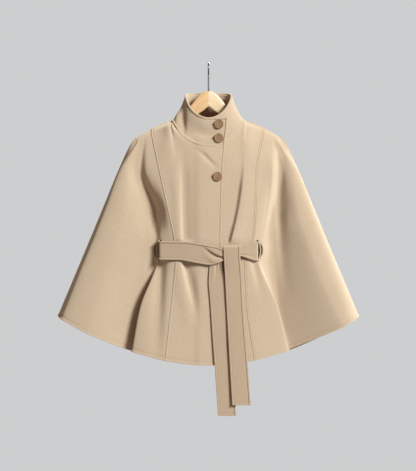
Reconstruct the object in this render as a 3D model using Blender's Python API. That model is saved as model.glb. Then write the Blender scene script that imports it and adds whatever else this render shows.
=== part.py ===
"""A belted cape coat of thick wool cloth, hung on a wooden hanger by its wire hook.

Sizes are in millimetres and are scaled to metres where a mesh is made.  X is across the coat, Y goes
from its front (negative) to its back, Z is up.  The origin is the seat of the hook on its rail.
The wearer's right side is at negative X.
"""
import math
from collections import namedtuple

import bmesh
import bpy
import numpy as np

MM = 0.001
SEAM_GAP = 0.3
NECK_SEAM_GAP = 0.9
SEAM_NUDGE = 0.2
CLOTH = 2.5
COLLAR_CLOTH = 5.0
BELT_CLOTH = 4.0
BELT_WIDTH = 51.0

# Outline of the coat from the neck point down the overarm seam to the wing tip
NECK_HALF = 104.0
NECK_SIDE_Z = -160.0
NECK_FRONT_DROP = 72.0
NECK_CURVE = 0.8
NECK_FRONT_DEPTH = 74.0
NECK_BACK_RISE = 10.0
NECK_BACK_DEPTH = 46.0
LAP_SAG = 6.0
SHOULDER_OUT = (104.0, 150.0, 183.0, 209.0)
SHOULDER_Z = (-160.0, -178.0, -195.0, -212.0)
OVERARM_OUT = (209.0, 231.0, 244.5, 325.0, 424.0)
OVERARM_Z = (-212.0, -246.0, -279.0, -475.0, -712.0)
SHOULDER_ROUND = 16.0
SHOULDER_TURN = 12.0
SHOULDER_SPREAD = 9.0
NECK_TURN = 4.0
HEM_CENTRE_Z = -844.0
HEM_RISE = 133.0
HEM_POWER = 1.9
BACK_HEM_DROP = 10.0

# Front sections.  Each row is one level: its height, the depth of the cloth at the centre and, going
# out, how far the princess seam, the side of the body, the lip of the belt slit, the dip of the wing
# and the crest of the wing stand out from the centre and in front of the overarm seam.  The crest lies
# at a share of the way from the dip to the overarm seam.
Front = namedtuple(
    "Front",
    "z centre princess_out princess side_out side lip_out lip dip_out dip crest crest_share",
)
RIGHT_FRONT = (
    Front(-300, 90, 139, 68, 174, 54, 191, 36, 205, 38, 54, 0.55),
    Front(-420, 98, 112, 88, 135, 60, 151, 34, 173, 44, 78, 0.55),
    Front(-497, 100, 96, 94, 131, 78, 149, 60, 172, 62, 86, 0.55),
    Front(-526, 100, 94, 94, 134, 81, 152, 62, 180, 68, 88, 0.55),
    Front(-556, 100, 92, 94, 136, 82, 151, 60, 180, 66, 90, 0.55),
    Front(-680, 112, 104, 106, 189, 88, 180, 50, 212, 62, 96, 0.55),
    Front(-844, 126, 121, 120, 214, 92, 204, 48, 236, 62, 100, 0.55),
)
LEFT_FRONT = (
    Front(-300, 90, 136, 78, 160, 71, 176, 62, 200, 44, 54, 0.6),
    Front(-420, 98, 132, 90, 150, 82, 165, 66, 184, 38, 80, 0.6),
    Front(-497, 100, 124, 88, 134, 83, 151, 70, 181, 40, 86, 0.62),
    Front(-526, 100, 112, 91, 135, 83, 152, 68, 183, 38, 88, 0.64),
    Front(-556, 100, 104, 93, 136, 83, 151, 62, 184, 36, 90, 0.65),
    Front(-680, 112, 110, 106, 191, 92, 183, 46, 197, 29, 97, 0.68),
    Front(-844, 126, 131, 120, 224, 96, 214, 46, 230, 31, 102, 0.75),
)
PRINCESS_TOP = {-1: 161.0, 1: 156.0}
TOP_SHARES = (-0.4, 0.0, 0.2, 0.4, 0.55, 0.75, 0.9, 1.0)
INNER_SHARE = 0.6
NEAR_SHARE = 0.93
NEAR_DEPTH = 0.74

# Back sections: depth at the centre, where the body turns into the wing, and the wing
Back = namedtuple("Back", "centre side_out side wing")
BACK = (
    Back(66, 120, 60, 46),
    Back(84, 125, 76, 66),
    Back(94, 130, 86, 76),
    Back(97, 132, 89, 78),
    Back(100, 134, 92, 80),
    Back(114, 150, 106, 86),
    Back(128, 165, 118, 92),
)
BACK_WING_SHARE = 0.5
BACK_TOP_WING = 0.86
BACK_TOP_NEAR = 0.97
Flute = namedtuple("Flute", "foot_x height half_width")
FLUTES = (
    Flute(-265, 12, 40),
    Flute(-165, -12, 38),
    Flute(-70, 13, 40),
    Flute(40, -10, 40),
    Flute(140, 13, 42),
    Flute(245, -10, 38),
)
FLUTE_HEAD_Z = -330.0
FLUTE_HEAD_SHARE = 0.6

# Folds pressed into the front by the tied belt, each along a line from its head to its foot, bowed aside.
# Height is how far the cloth stands out, inner and outer are the half widths towards and away from the
# centre, and the fold grows and fades over these shares of its length.
Fold = namedtuple("Fold", "head_x head_z foot_x foot_z bow height inner outer grows fades")
FOLDS = (
    Fold(-82, -250, -67, -500, 0, -10, 20, 7, 0.5, 0.01),
    Fold(-98, -260, -80, -500, 0, 4, 10, 14, 0.4, 0.01),
    Fold(100, -240, 60, -510, 11, 11, 4.5, 34, 0.55, 0.01),
    Fold(-68, -552, -22, -760, 0, -12, 16, 7, 0.01, 0.8),
    Fold(-84, -552, -44, -790, 0, 6, 10, 20, 0.01, 0.7),
    Fold(-132, -552, -150, -900, 0, -19, 14, 18, 0.01, 0.8),
    Fold(124, -552, 158, -700, 0, -9, 9, 11, 0.01, 0.9),
    Fold(-36, -236, 36, -312, 0, -3, 10, 10, 0.5, 0.5),
)
BELT_Z = -526.0
BELT_FLAT = 27.0
BELT_FADE = 34.0

# Lap: the edge of the right front, and where the left front ends under it
LAP_EDGE = (46.0, 45.0, 41.0, 37.0, 36.0, 36.0, 36.0, 34.0, 33.0)
LAP_UNDER = -14.0
LAP_LIFT = CLOTH + 2.4
LAP_START = -46.0
LAP_FULL = -20.0
GATHER_RIGHT = (-104.0, -104.0, -86.0, -76.0, -70.0, -69.0, -69.0, -50.0, -46.0)
GATHER_LEFT = (104.0, 104.0, 99.0, 83.5, 64.0, 62.0, 62.0, 70.0, 76.0)

# Collar: the upper rim, and how its wall leans in from the neck seam
COLLAR_HALF = 64.5
COLLAR_SIDE_Z = -82.0
COLLAR_FRONT_DROP = 72.0
COLLAR_CURVE = 0.6
COLLAR_BACK_RISE = 3.0
COLLAR_FRONT_DEPTH = 60.0
COLLAR_BACK_DEPTH = 44.0
COLLAR_LEAN = 0.62
COLLAR_UNDER_END = -0.18
COLLAR_OVER_END_LOW = 0.48
COLLAR_OVER_END_TOP = 0.94
COLLAR_LIFT = COLLAR_CLOTH + 3.0
COLLAR_LIFT_FROM = math.radians(306)
COLLAR_LIFT_RUN = math.radians(44)

# Belt: the edges of each stretch on the front, and the two hanging ends
Strap = namedtuple("Strap", "along top foot")
BELT_CLEAR = 1.2
BELT_RIGHT = (
    Strap(-141, -500.5, -551.5),
    Strap(-74, -501, -553),
    Strap(-25, -507, -562),
    Strap(6, -512, -566),
    Strap(24, -516, -561),
    Strap(38, -521, -553),
)
BELT_RIGHT_LIFT = 6.0
BELT_LEFT = (
    Strap(96, -522, -544),
    Strap(110, -513, -549.5),
    Strap(128, -504, -554),
    Strap(141, -500, -555),
)
BELT_BEND = 9.0
BELT_TURN_X = 135.5
BELT_HEADING = math.radians(28)
BELT_INWARD = 18.0
BELT_BACK_CURVE = 0.6
BELT_BACK_DEPTH = 80.0
Tail = namedtuple("Tail", "z left right depth")
TAIL_OVER = (
    Tail(-521, 41, 88, 118.5),
    Tail(-545, 42, 88.5, 119.5),
    Tail(-594, 45, 92, 119),
    Tail(-690, 50, 97, 126.5),
    Tail(-820, 57, 107, 141),
    Tail(-952, 65, 117, 147),
)
TAIL_UNDER = (
    Tail(-538, 6, 34, 107.8),
    Tail(-566, 3, 38, 108.2),
    Tail(-612, 0, 46, 112.8),
    Tail(-664, 4, 51, 118.2),
    Tail(-768, 11, 60, 128),
    Tail(-850, 17, 67, 135),
    Tail(-982, 26, 77, 139),
)
TAIL_CLOTH = 3.0
TAIL_CURL = 6.0
TAIL_CURL_END = 0.3
TAIL_CURL_STEPS = 6
KNOT_LEFT = 38.4
KNOT_RIGHT = 95.6
KNOT_TOP = -522.0
KNOT_FOOT = -549.0
KNOT_BACK = 104.5
KNOT_FRONT = 116.8
KNOT_END = 0.72

# Buttons: centres on the front, and the turned disc
BUTTONS = ((29.0, -174.0), (29.0, -213.0), (25.0, -321.0))
Turned = namedtuple("Turned", "radius height")
BUTTON_PROFILE = (
    Turned(4.0, 0.0),
    Turned(4.0, 1.2),
    Turned(11.7, 1.2),
    Turned(13.0, 2.4),
    Turned(13.0, 3.7),
    Turned(12.2, 4.5),
    Turned(10.9, 4.5),
    Turned(9.6, 3.8),
)
BUTTON_CLEAR = 0.6
BUTTON_STEPS = 24
BUTTON_NEAREST = 4

# Belt loop: a narrow strap across each slit
LOOP_DEEP = 7.0
LOOP_THICK = 2.4
LOOP_BOW = 1.5
LOOP_IN = 6.0
LOOP_BACK = -8.0
LOOP_END_GAP = 0.5
LOOP_STEPS = 9

# Hanger: out from the centre, top and foot of the wooden arms
Arm = namedtuple("Arm", "out top foot")
ARMS = (
    Arm(0, -77, -123),
    Arm(12, -79, -131),
    Arm(24, -86, -139),
    Arm(36, -101, -147),
    Arm(52, -119, -157),
    Arm(78, -145, -174),
    Arm(90, -157, -182),
    Arm(104, -168, -191),
    Arm(150, -183.5, -209),
    Arm(180, -200, -222),
    Arm(190, -208, -226),
)
ARM_THICK = 12.0
ARM_CENTRE_Y = -2.5
ARM_END_Y = 0.5
ARM_SQUARE = 0.7
HOOK_INNER = 13.0
HOOK_WIRE = 4.0
HOOK_FOOT_Z = -76.6
HOOK_TIP = math.radians(-25)
HOOK_STEPS = 26
STEM_STEPS = 4
WIRE_STEPS = 10

# Mesh: how each stretch of a piece is split, and where the belt slit lies among its rows and columns
ROW_PARTS = (1, 3, 2, 2, 1, 1, 3, 4)
SIDE_PARTS = (2, 3, 2, 3, 3, 2)
CENTRE_PARTS = (3, 6, 4, 5, 3)
BACK_PARTS = (2, 3, 4, 6, 6, 4, 3, 2)
COLLAR_STEPS = 44
COLLAR_ROWS = 6
BELT_STEPS = 12
BEND_STEPS = 6
BACK_BELT_STEPS = 19
TAIL_STEPS = 3
ROUND_STEPS = 16
SLIT_FIRST_ROW = sum(ROW_PARTS[:4])
SLIT_LAST_ROW = sum(ROW_PARTS[:6])
SIDE_OF_BODY = sum(SIDE_PARTS[:1])
LIP_OF_SLIT = sum(SIDE_PARTS[:2])

# Colours
CAMEL = (0.62, 0.46, 0.31)
CAMEL_BELT = (0.56, 0.41, 0.28)
HORN = (0.32, 0.18, 0.09)
BEECH = (0.74, 0.52, 0.30)
STEEL = (0.35, 0.35, 0.36)


def pchip(values, at):
    """Cubic through values spaced one apart, flat at each local extreme."""
    values = np.asarray(values, float)
    step = np.diff(values, axis=0)
    rising = step[:-1] * step[1:] > 0
    total = np.where(rising, step[:-1] + step[1:], 1.0)
    slope = np.zeros_like(values)
    slope[1:-1] = np.where(rising, 2 * step[:-1] * step[1:] / total, 0.0)
    slope[0] = step[0]
    slope[-1] = step[-1]
    at = np.asarray(at, float)
    low = np.clip(np.floor(at).astype(int), 0, len(values) - 2)
    t = (at - low).reshape((-1,) + (1,) * (values.ndim - 1))
    return (
        values[low] * (1 + 2 * t) * (1 - t) ** 2
        + slope[low] * t * (1 - t) ** 2
        + values[low + 1] * t * t * (3 - 2 * t)
        + slope[low + 1] * t * t * (t - 1)
    )


def ease(t):
    """Smooth rise from 0 to 1."""
    t = np.clip(t, 0.0, 1.0)
    return t * t * (3 - 2 * t)


def parts_of(stops, counts):
    """Positions along stops, with each stretch split into its count of equal parts."""
    runs = [np.linspace(a, b, n, endpoint=False) for a, b, n in zip(stops, stops[1:], counts)]
    return np.append(np.concatenate(runs), stops[-1])


ROWS = parts_of(np.arange(len(ROW_PARTS) + 1.0), ROW_PARTS)
SIDE_COLUMNS = parts_of(np.arange(1.0, len(SIDE_PARTS) + 2.0), SIDE_PARTS)


def unit(vectors):
    """Vectors brought to length one."""
    return vectors / np.linalg.norm(vectors, axis=-1, keepdims=True)


def round_share(x, half):
    """1 at the centre of a round neck, 0 at its sides."""
    return np.clip(1 - (x / half) ** 2, 0.0, 1.0)


def shoulder_z(x):
    """Height of the shoulder seam."""
    return np.interp(np.abs(x), SHOULDER_OUT, SHOULDER_Z)


def top_line(x, front, lapped):
    """Depth and height of the neck and shoulder seams of the front or the back."""
    inside = np.abs(x) < NECK_HALF
    share = np.where(lapped & (x > 0) & inside, 1.0, round_share(x, NECK_HALF))
    drop = -NECK_FRONT_DROP * share ** NECK_CURVE if front else NECK_BACK_RISE * share
    depth = -NECK_FRONT_DEPTH if front else NECK_BACK_DEPTH
    sag = LAP_SAG * ease(x / LAP_EDGE[0]) if lapped else 0.0
    z = np.where(inside, NECK_SIDE_Z + drop - sag, shoulder_z(x))
    return depth * np.sqrt(share), z


def hem_z(x):
    """Height of the curved hem."""
    return HEM_CENTRE_Z + HEM_RISE * (np.abs(x) / OVERARM_OUT[-1]) ** HEM_POWER


def top_column(x, front, lapped):
    """The seam point of a column and the point just below it, over the shoulder or under the neck."""
    depth, z = top_line(x, front, lapped)
    sign = -1.0 if front else 1.0
    under_neck = np.sqrt(round_share(x, NECK_HALF))
    out = SHOULDER_ROUND + (NECK_TURN - SHOULDER_ROUND) * under_neck
    return (depth, z), (depth + sign * out, z - SHOULDER_TURN)


def fold_height(x, z):
    """How far the folds of the front stand out at a point, flat under the belt."""
    total = np.zeros_like(x)
    for fold in FOLDS:
        along = np.clip((fold.head_z - z) / (fold.head_z - fold.foot_z), 0.0, 1.0)
        middle = fold.head_x + (fold.foot_x - fold.head_x) * along + fold.bow * 4 * along * (1 - along)
        outward = (x - middle) * np.sign(middle)
        width = np.where(outward < 0, fold.inner, fold.outer)
        strength = ease(along / fold.grows) * ease((1 - along) / fold.fades)
        same_side = (z > BELT_Z) == (fold.head_z > BELT_Z)
        total += fold.height * strength * same_side * np.exp(-((outward / width) ** 2))
    return total * ease((np.abs(z - BELT_Z) - BELT_FLAT) / BELT_FADE)


def side_controls(side, rows):
    """Control points of a side front, one row for each level from the seam at its top to the hem."""
    princess = np.array([PRINCESS_TOP[side]] + [PRINCESS_TOP[side]] + [r.princess_out for r in rows])
    heights = np.array([r.z for r in rows], float)
    share = (heights - shoulder_z(princess[0])) / (hem_z(princess[-1]) - shoulder_z(princess[0]))
    share[-1] = 1.0
    arm_z = OVERARM_Z[0] + (OVERARM_Z[-1] - OVERARM_Z[0]) * share
    arm_out = np.interp(-arm_z, -np.array(OVERARM_Z), OVERARM_OUT)
    top_out = princess[0] + (OVERARM_OUT[0] - princess[0]) * np.array(TOP_SHARES)
    levels = []
    top_z = shoulder_z(top_out)
    zero = np.zeros_like(top_out)
    levels.append(np.stack((top_out, zero - SEAM_GAP / 2, top_z), 1))
    turn_out = top_out.copy()
    turn_out[-1] += SHOULDER_SPREAD
    round_out = np.full_like(top_out, -SHOULDER_ROUND)
    round_out[-2] *= NEAR_DEPTH
    round_out[-1] = -SEAM_GAP / 2
    levels.append(np.stack((turn_out, round_out, top_z - SHOULDER_TURN), 1))
    for index, row in enumerate(rows):
        edge = arm_out[index]
        crest = row.dip_out + (edge - row.dip_out) * row.crest_share
        near = row.dip_out + (edge - row.dip_out) * NEAR_SHARE
        inner = row.princess_out * INNER_SHARE
        inner_depth = row.centre - (row.centre - row.princess) * INNER_SHARE ** 2
        out = np.array((inner, row.princess_out, row.side_out, row.lip_out, row.dip_out, crest, near, edge))
        depth = (inner_depth, row.princess, row.side, row.lip, row.dip, row.crest, row.crest * NEAR_DEPTH)
        y = np.append(-np.array(depth), -SEAM_GAP / 2)
        body_z = np.full_like(out, row.z)
        wing = ease((out - row.lip_out) / (edge - row.lip_out))
        at_hem = index == len(rows) - 1
        z = hem_z(out) if at_hem else body_z + (arm_z[index] - body_z) * wing
        levels.append(np.stack((out, y, z), 1))
    controls = np.array(levels)
    mirror = controls[:, -2:-1] * (1, -1, 1)
    controls = np.concatenate((controls, mirror), 1)
    return controls * (side, 1, 1)


def side_grid(side, rows):
    """Points of a side front: rows from the top seam to the hem, columns from princess seam to overarm."""
    controls = side_controls(side, rows)
    columns = pchip(np.swapaxes(controls, 0, 1), SIDE_COLUMNS)
    grid = pchip(np.swapaxes(columns, 0, 1), ROWS)
    body = np.clip(SIDE_COLUMNS[LIP_OF_SLIT] - SIDE_COLUMNS, 0.0, 1.0)
    grid[..., 1] -= fold_height(grid[..., 0], grid[..., 2]) * body
    return grid


def level_values(name, side):
    """One column of the front table from chest to hem."""
    rows = RIGHT_FRONT if side < 0 else LEFT_FRONT
    return np.array([getattr(r, name) for r in rows], float)


def along_neck(x):
    """Distance along the round neck, as a share of its half width; straight on beyond the neck point."""
    angle = np.arcsin(np.clip(x / NECK_HALF, -1.0, 1.0))
    return np.where(np.abs(x) < NECK_HALF, NECK_HALF * angle * 2 / math.pi, x)


def from_neck(run):
    """X of a distance along the round neck."""
    return np.where(np.abs(run) < NECK_HALF, NECK_HALF * np.sin(run / NECK_HALF * math.pi / 2), run)


def centre_lines():
    """X of the guide lines of the centre fronts at each level, from the right princess seam to the left."""
    right = -np.append([PRINCESS_TOP[-1]] * 2, level_values("princess_out", -1))
    left = np.append([PRINCESS_TOP[1]] * 2, level_values("princess_out", 1))
    under = np.full(len(LAP_EDGE), LAP_UNDER)
    edge = np.array(LAP_EDGE)
    return np.stack((right, np.array(GATHER_RIGHT), under, edge, np.array(GATHER_LEFT), left))


def centre_grid(lapped):
    """Points of the centre front, or of its lapped right half."""
    lines = centre_lines()
    split = parts_of(np.arange(float(len(lines))), CENTRE_PARTS)
    low = np.minimum(split.astype(int), len(lines) - 2)
    x = lines[low] + (lines[low + 1] - lines[low]) * (split - low)[:, None]
    neck = along_neck(lines[:, :2])
    x[:, :2] = from_neck(neck[low] + (neck[low + 1] - neck[low]) * (split - low)[:, None])
    points = np.zeros(x.shape + (3,))
    points[..., 0] = x
    seam, turn = top_column(x[:, 0], True, lapped)
    points[:, 0, 1], points[:, 0, 2] = seam
    points[:, 1, 1], points[:, 1, 2] = turn
    points[:, 0, 1] -= SEAM_GAP / 2
    for index, (right, left) in enumerate(zip(RIGHT_FRONT, LEFT_FRONT), 2):
        at = x[:, index]
        out = np.where(at < 0, right.princess_out, left.princess_out)
        seam_depth = np.where(at < 0, right.princess, left.princess)
        points[:, index, 1] = -(right.centre - (right.centre - seam_depth) * (at / out) ** 2)
        points[:, index, 2] = right.z
    points[:, -1, 2] = hem_z(x[:, -1])
    grid = pchip(np.swapaxes(points, 0, 1), ROWS)
    grid[..., 1] -= fold_height(grid[..., 0], grid[..., 2])
    if lapped:
        grid[..., 1] -= LAP_LIFT * ease((grid[..., 0] - LAP_START) / (LAP_FULL - LAP_START))
    return grid


def back_level(side, edge, index):
    """Control points of half the back at one level: beyond the edge, edge, near it, wing, body."""
    if index < 2:
        out = np.array((NECK_HALF, abs(edge[0]) * BACK_TOP_WING, abs(edge[0]) * BACK_TOP_NEAR)) * side
        y, z = top_column(out, False, False)[index]
        y = y + SEAM_GAP / 2
        y[2] = SEAM_GAP / 2 + index * SHOULDER_ROUND * NEAR_DEPTH
    else:
        row = BACK[index - 2]
        span = abs(edge[0]) - row.side_out
        reach = np.array((0.0, BACK_WING_SHARE, NEAR_SHARE))
        out = (row.side_out + span * reach) * side
        y = np.array((row.side, row.wing, row.wing * NEAR_DEPTH))
        z = RIGHT_FRONT[index - 2].z + (edge[2] - RIGHT_FRONT[index - 2].z) * ease(reach)
        if index - 1 == len(BACK):
            z = hem_z(out) - BACK_HEM_DROP * (1 - reach ** 4)
    body, wing, near = np.stack((out, y, z), 1)
    return np.array((near * (1, -1, 1), edge * (1, -1, 1), near, wing, body))


def back_grid():
    """Points of the back from the left overarm seam to the right one."""
    left = side_controls(1, LEFT_FRONT)[:, -2]
    right = side_controls(-1, RIGHT_FRONT)[:, -2]
    levels = []
    for index in range(len(left)):
        if index < 2:
            depth = NECK_BACK_DEPTH + index * NECK_TURN
            height = NECK_SIDE_Z + NECK_BACK_RISE - index * SHOULDER_TURN
        else:
            depth = BACK[index - 2].centre
            height = RIGHT_FRONT[index - 2].z
        if index - 1 == len(BACK):
            height = HEM_CENTRE_Z - BACK_HEM_DROP
        middle = np.array(((0.0, depth, height),))
        halves = (back_level(1, left[index], index), middle, back_level(-1, right[index], index)[::-1])
        levels.append(np.concatenate(halves))
    controls = np.swapaxes(np.array(levels), 0, 1)
    columns = pchip(controls, parts_of(np.arange(1.0, len(BACK_PARTS) + 2.0), BACK_PARTS))
    at_neck = np.abs(columns[:, 0, 0]) < NECK_HALF
    columns[at_neck, :2, 0] = from_neck(columns[at_neck, :2, 0])
    seam, turn = top_column(columns[at_neck, 0, 0], False, False)
    columns[at_neck, 0, 1:] = np.stack((seam[0] + SEAM_GAP / 2, seam[1]), 1)
    columns[at_neck, 1, 1:] = np.stack(turn, 1)
    grid = pchip(np.swapaxes(columns, 0, 1), ROWS)
    grid[..., 1] += flute_height(grid[..., 0], grid[..., 2])
    return grid


def flute_height(x, z):
    """How far the flutes of the back stand out, growing from the shoulder blades down to the hem."""
    grown = ease((FLUTE_HEAD_Z - z) / (FLUTE_HEAD_Z - HEM_CENTRE_Z))
    total = np.zeros_like(x)
    for flute in FLUTES:
        middle = flute.foot_x * (FLUTE_HEAD_SHARE + (1 - FLUTE_HEAD_SHARE) * grown)
        total += flute.height * np.exp(-(((x - middle) / flute.half_width) ** 2))
    return total * grown


def normals(grid, front):
    """Outward directions of a grid, straight up at the shoulder seam and straight out at the overarm seam."""
    across = np.gradient(grid, axis=1)
    down = np.gradient(grid, axis=0)
    facing = np.cross(across, down)
    away = -1.0 if front else 1.0
    facing = unit(facing)
    if facing[grid.shape[0] // 2, grid.shape[1] // 2, 1] * away < 0:
        facing = -facing
    x = grid[0, :, 0]
    slope = np.gradient(shoulder_z(x), x)
    upward = unit(np.stack((-slope, np.zeros_like(x), np.ones_like(x)), 1))
    neck = np.sqrt(round_share(x, NECK_HALF))[:, None]
    facing[0] = unit(facing[0] * neck + upward * (1 - neck))
    for column in (0, -1):
        run = down[:, column]
        outward = np.stack((-run[:, 2], np.zeros(len(run)), run[:, 0]), 1)
        outward *= np.sign(grid[-1, column, 0])
        facing[:, column] = unit(outward)
    return facing


def material(name, colour, roughness):
    """A plain surface of one colour."""
    made = bpy.data.materials.new(name)
    made.use_nodes = True
    shader = made.node_tree.nodes["Principled BSDF"]
    shader.inputs["Base Color"].default_value = (*colour, 1.0)
    shader.inputs["Roughness"].default_value = roughness
    return made


def make(name, points, faces, colour, roughness=0.9):
    """A closed mesh object with its own material."""
    mesh = bpy.data.meshes.new(name)
    mesh.from_pydata([tuple(p) for p in np.asarray(points) * MM], [], faces)
    body = bmesh.new()
    body.from_mesh(mesh)
    bmesh.ops.recalc_face_normals(body, faces=body.faces[:])
    body.to_mesh(mesh)
    body.free()
    for polygon in mesh.polygons:
        polygon.use_smooth = True
    mesh.materials.append(material(name, colour, roughness))
    made = bpy.data.objects.new(name, mesh)
    bpy.context.collection.objects.link(made)
    return made


def wall(name, outer, inner, colour, hole=None):
    """A cloth wall between an outer and an inner grid, with its rims, and a hole of left-out cells."""
    rows, columns = outer.shape[:2]
    kept = np.ones((rows - 1, columns - 1), bool)
    if hole is not None:
        kept[hole] = False
    number = np.full((rows, columns), -1)
    used = np.zeros((rows, columns), bool)
    for i, j in np.argwhere(kept):
        used[i:i + 2, j:j + 2] = True
    number[used] = np.arange(used.sum())
    count = int(used.sum())
    points = np.concatenate((outer[used], inner[used]))
    faces = []
    edges = {}
    for i, j in np.argwhere(kept):
        loop = [int(number[k]) for k in ((i, j), (i, j + 1), (i + 1, j + 1), (i + 1, j))]
        faces.append(loop)
        faces.append([k + count for k in reversed(loop)])
        for a, b in zip(loop, loop[1:] + loop[:1]):
            edges[(a, b)] = True
    for a, b in edges:
        if (b, a) not in edges:
            faces.append([b, a, a + count, b + count])
    return make(name, points, faces, colour)


def tube(name, rings, colour, roughness=0.9):
    """A closed body through rings of points, with flat ends."""
    count, around = rings.shape[:2]
    faces = [list(range(around)), [(count - 1) * around + k for k in reversed(range(around))]]
    for i in range(count - 1):
        for k in range(around):
            n = (k + 1) % around
            faces.append([i * around + k, (i + 1) * around + k, (i + 1) * around + n, i * around + n])
    return make(name, rings.reshape(-1, 3), faces, colour, roughness)


def nudge(grid, column, toward):
    """The seam gap: one column moved half the gap towards its neighbour."""
    step = unit(grid[:, toward] - grid[:, column])
    grid[:, column] += step * SEAM_NUDGE


def make_fronts():
    """The four front pieces, cut from one sheet at the princess seams."""
    right = side_grid(-1, RIGHT_FRONT)[:, ::-1]
    left = side_grid(1, LEFT_FRONT)
    side_count = right.shape[1]
    pieces = {}
    for lapped in (False, True):
        centre = centre_grid(lapped)
        sheet = np.concatenate((right, centre[:, 1:-1], left), 1)
        inner = sheet - normals(sheet, True) * CLOTH
        pieces[lapped] = (sheet, inner)
    starts = np.append(0, np.cumsum(CENTRE_PARTS)) + side_count - 1
    last = pieces[False][0].shape[1]
    cuts = (
        ("side_front_right", False, 0, side_count, (), (-1, -2)),
        ("front_right", True, starts[0], starts[3] + 1, (0, 1), ()),
        ("front_left", False, starts[2], starts[5] + 1, (), (-1, -2)),
        ("side_front_left", False, last - side_count, last, (0, 1), ()),
    )
    slit_rows = slice(SLIT_FIRST_ROW, SLIT_LAST_ROW)
    holes = {
        "side_front_left": (slit_rows, slice(SIDE_OF_BODY, LIP_OF_SLIT)),
        "side_front_right": (slit_rows, slice(side_count - 1 - LIP_OF_SLIT, side_count - 1 - SIDE_OF_BODY)),
    }
    for name, lapped, low, high, start_nudge, end_nudge in cuts:
        outer = pieces[lapped][0][:, low:high].copy()
        inner = pieces[lapped][1][:, low:high].copy()
        for pair in (start_nudge, end_nudge):
            if pair:
                nudge(outer, *pair)
                nudge(inner, *pair)
        wall(name, outer, inner, CAMEL, holes.get(name))
    return pieces


def make_back():
    """The back, with both wing backs, in one piece."""
    grid = back_grid()
    wall("back", grid, grid - normals(grid, False) * CLOTH, CAMEL)


def collar_point(around, up):
    """A point of the collar: angle from the front centre towards the left, share of its height."""
    over = ease((around - COLLAR_LIFT_FROM) / COLLAR_LIFT_RUN)
    lap = around > 2 * math.pi
    turns = np.sin(around)
    ahead = np.where(lap, 1.0, np.cos(around))
    front = ahead > 0
    low_x = NECK_HALF * turns
    low_y = -np.where(front, NECK_FRONT_DEPTH, NECK_BACK_DEPTH) * ahead
    share = np.where(lap, 1.0, round_share(low_x, NECK_HALF))
    sag = LAP_SAG * ease(low_x / LAP_EDGE[0]) * lap
    drop = -NECK_FRONT_DROP * share ** NECK_CURVE - sag
    low_z = NECK_SIDE_Z + np.where(front, drop, NECK_BACK_RISE * share)
    top_x = COLLAR_HALF * turns
    top_y = -np.where(front, COLLAR_FRONT_DEPTH, COLLAR_BACK_DEPTH) * ahead
    share = np.where(lap, 1.0, round_share(top_x, COLLAR_HALF))
    drop = -COLLAR_FRONT_DROP * share ** COLLAR_CURVE
    top_z = COLLAR_SIDE_Z + np.where(front, drop, COLLAR_BACK_RISE * share)
    lean = up ** COLLAR_LEAN
    x = low_x + (top_x - low_x) * lean
    y = low_y + (top_y - low_y) * lean - COLLAR_LIFT * over
    z = low_z + (top_z - low_z) * up
    return np.stack((x, y, z), -1)


def collar_grid(count, rows):
    """Points of the collar from its lapped-over end round to its under end."""
    up = np.linspace(0, 1, rows)[:, None]
    end = 2 * math.pi + COLLAR_OVER_END_LOW + (COLLAR_OVER_END_TOP - COLLAR_OVER_END_LOW) * up
    along = np.linspace(0, 1, count)[None, :]
    around = COLLAR_UNDER_END + (end - COLLAR_UNDER_END) * along
    grid = collar_point(around, up + 0 * around)
    grid[0, :, 2] += NECK_SEAM_GAP
    return grid


def make_collar():
    """The standing collar, lapped at the front."""
    grid = collar_grid(COLLAR_STEPS, COLLAR_ROWS)
    facing = unit(np.cross(np.gradient(grid, axis=1), np.gradient(grid, axis=0)))
    if facing[COLLAR_ROWS // 2, COLLAR_STEPS // 2, 1] < 0:
        facing = -facing
    facing[0, :, 2] = 0.0
    facing[1, :, 2] /= 2
    facing = unit(facing)
    wall("collar", grid, grid - facing * COLLAR_CLOTH, CAMEL)
    return grid, facing


def strap_wall(name, middle, width_way, half, thick, colour):
    """A flat strap: rows of points along it, its width direction and its half widths."""
    along = np.gradient(middle, axis=0)
    facing = unit(np.cross(along, width_way))
    across = np.linspace(-1, 1, 3)[:, None, None]
    grid = middle[None] + across * width_way[None] * half[None, :, None]
    facing = np.broadcast_to(facing[None], grid.shape)
    return wall(name, grid + facing * thick / 2, grid - facing * thick / 2, colour)


def belt_path(x, pieces):
    """Middle of the belt in plan along the front: clear of every row of cloth that it covers."""
    rows = slice(SLIT_FIRST_ROW, SLIT_LAST_ROW + 1)
    outside = len(SIDE_COLUMNS) - 1 - SIDE_OF_BODY
    depth = np.zeros_like(x)
    for lapped, covers in ((False, x < np.inf), (True, x < LAP_EDGE[5] + BELT_CLOTH)):
        for row in pieces[lapped][0][rows]:
            body = slice(outside, len(row) - outside)
            depth = np.where(covers, np.maximum(depth, np.interp(x, row[body, 0], -row[body, 1])), depth)
    depth = depth + BELT_CLEAR + BELT_CLOTH / 2
    return np.stack((x, -depth, np.full_like(x, BELT_Z)), 1)


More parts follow.
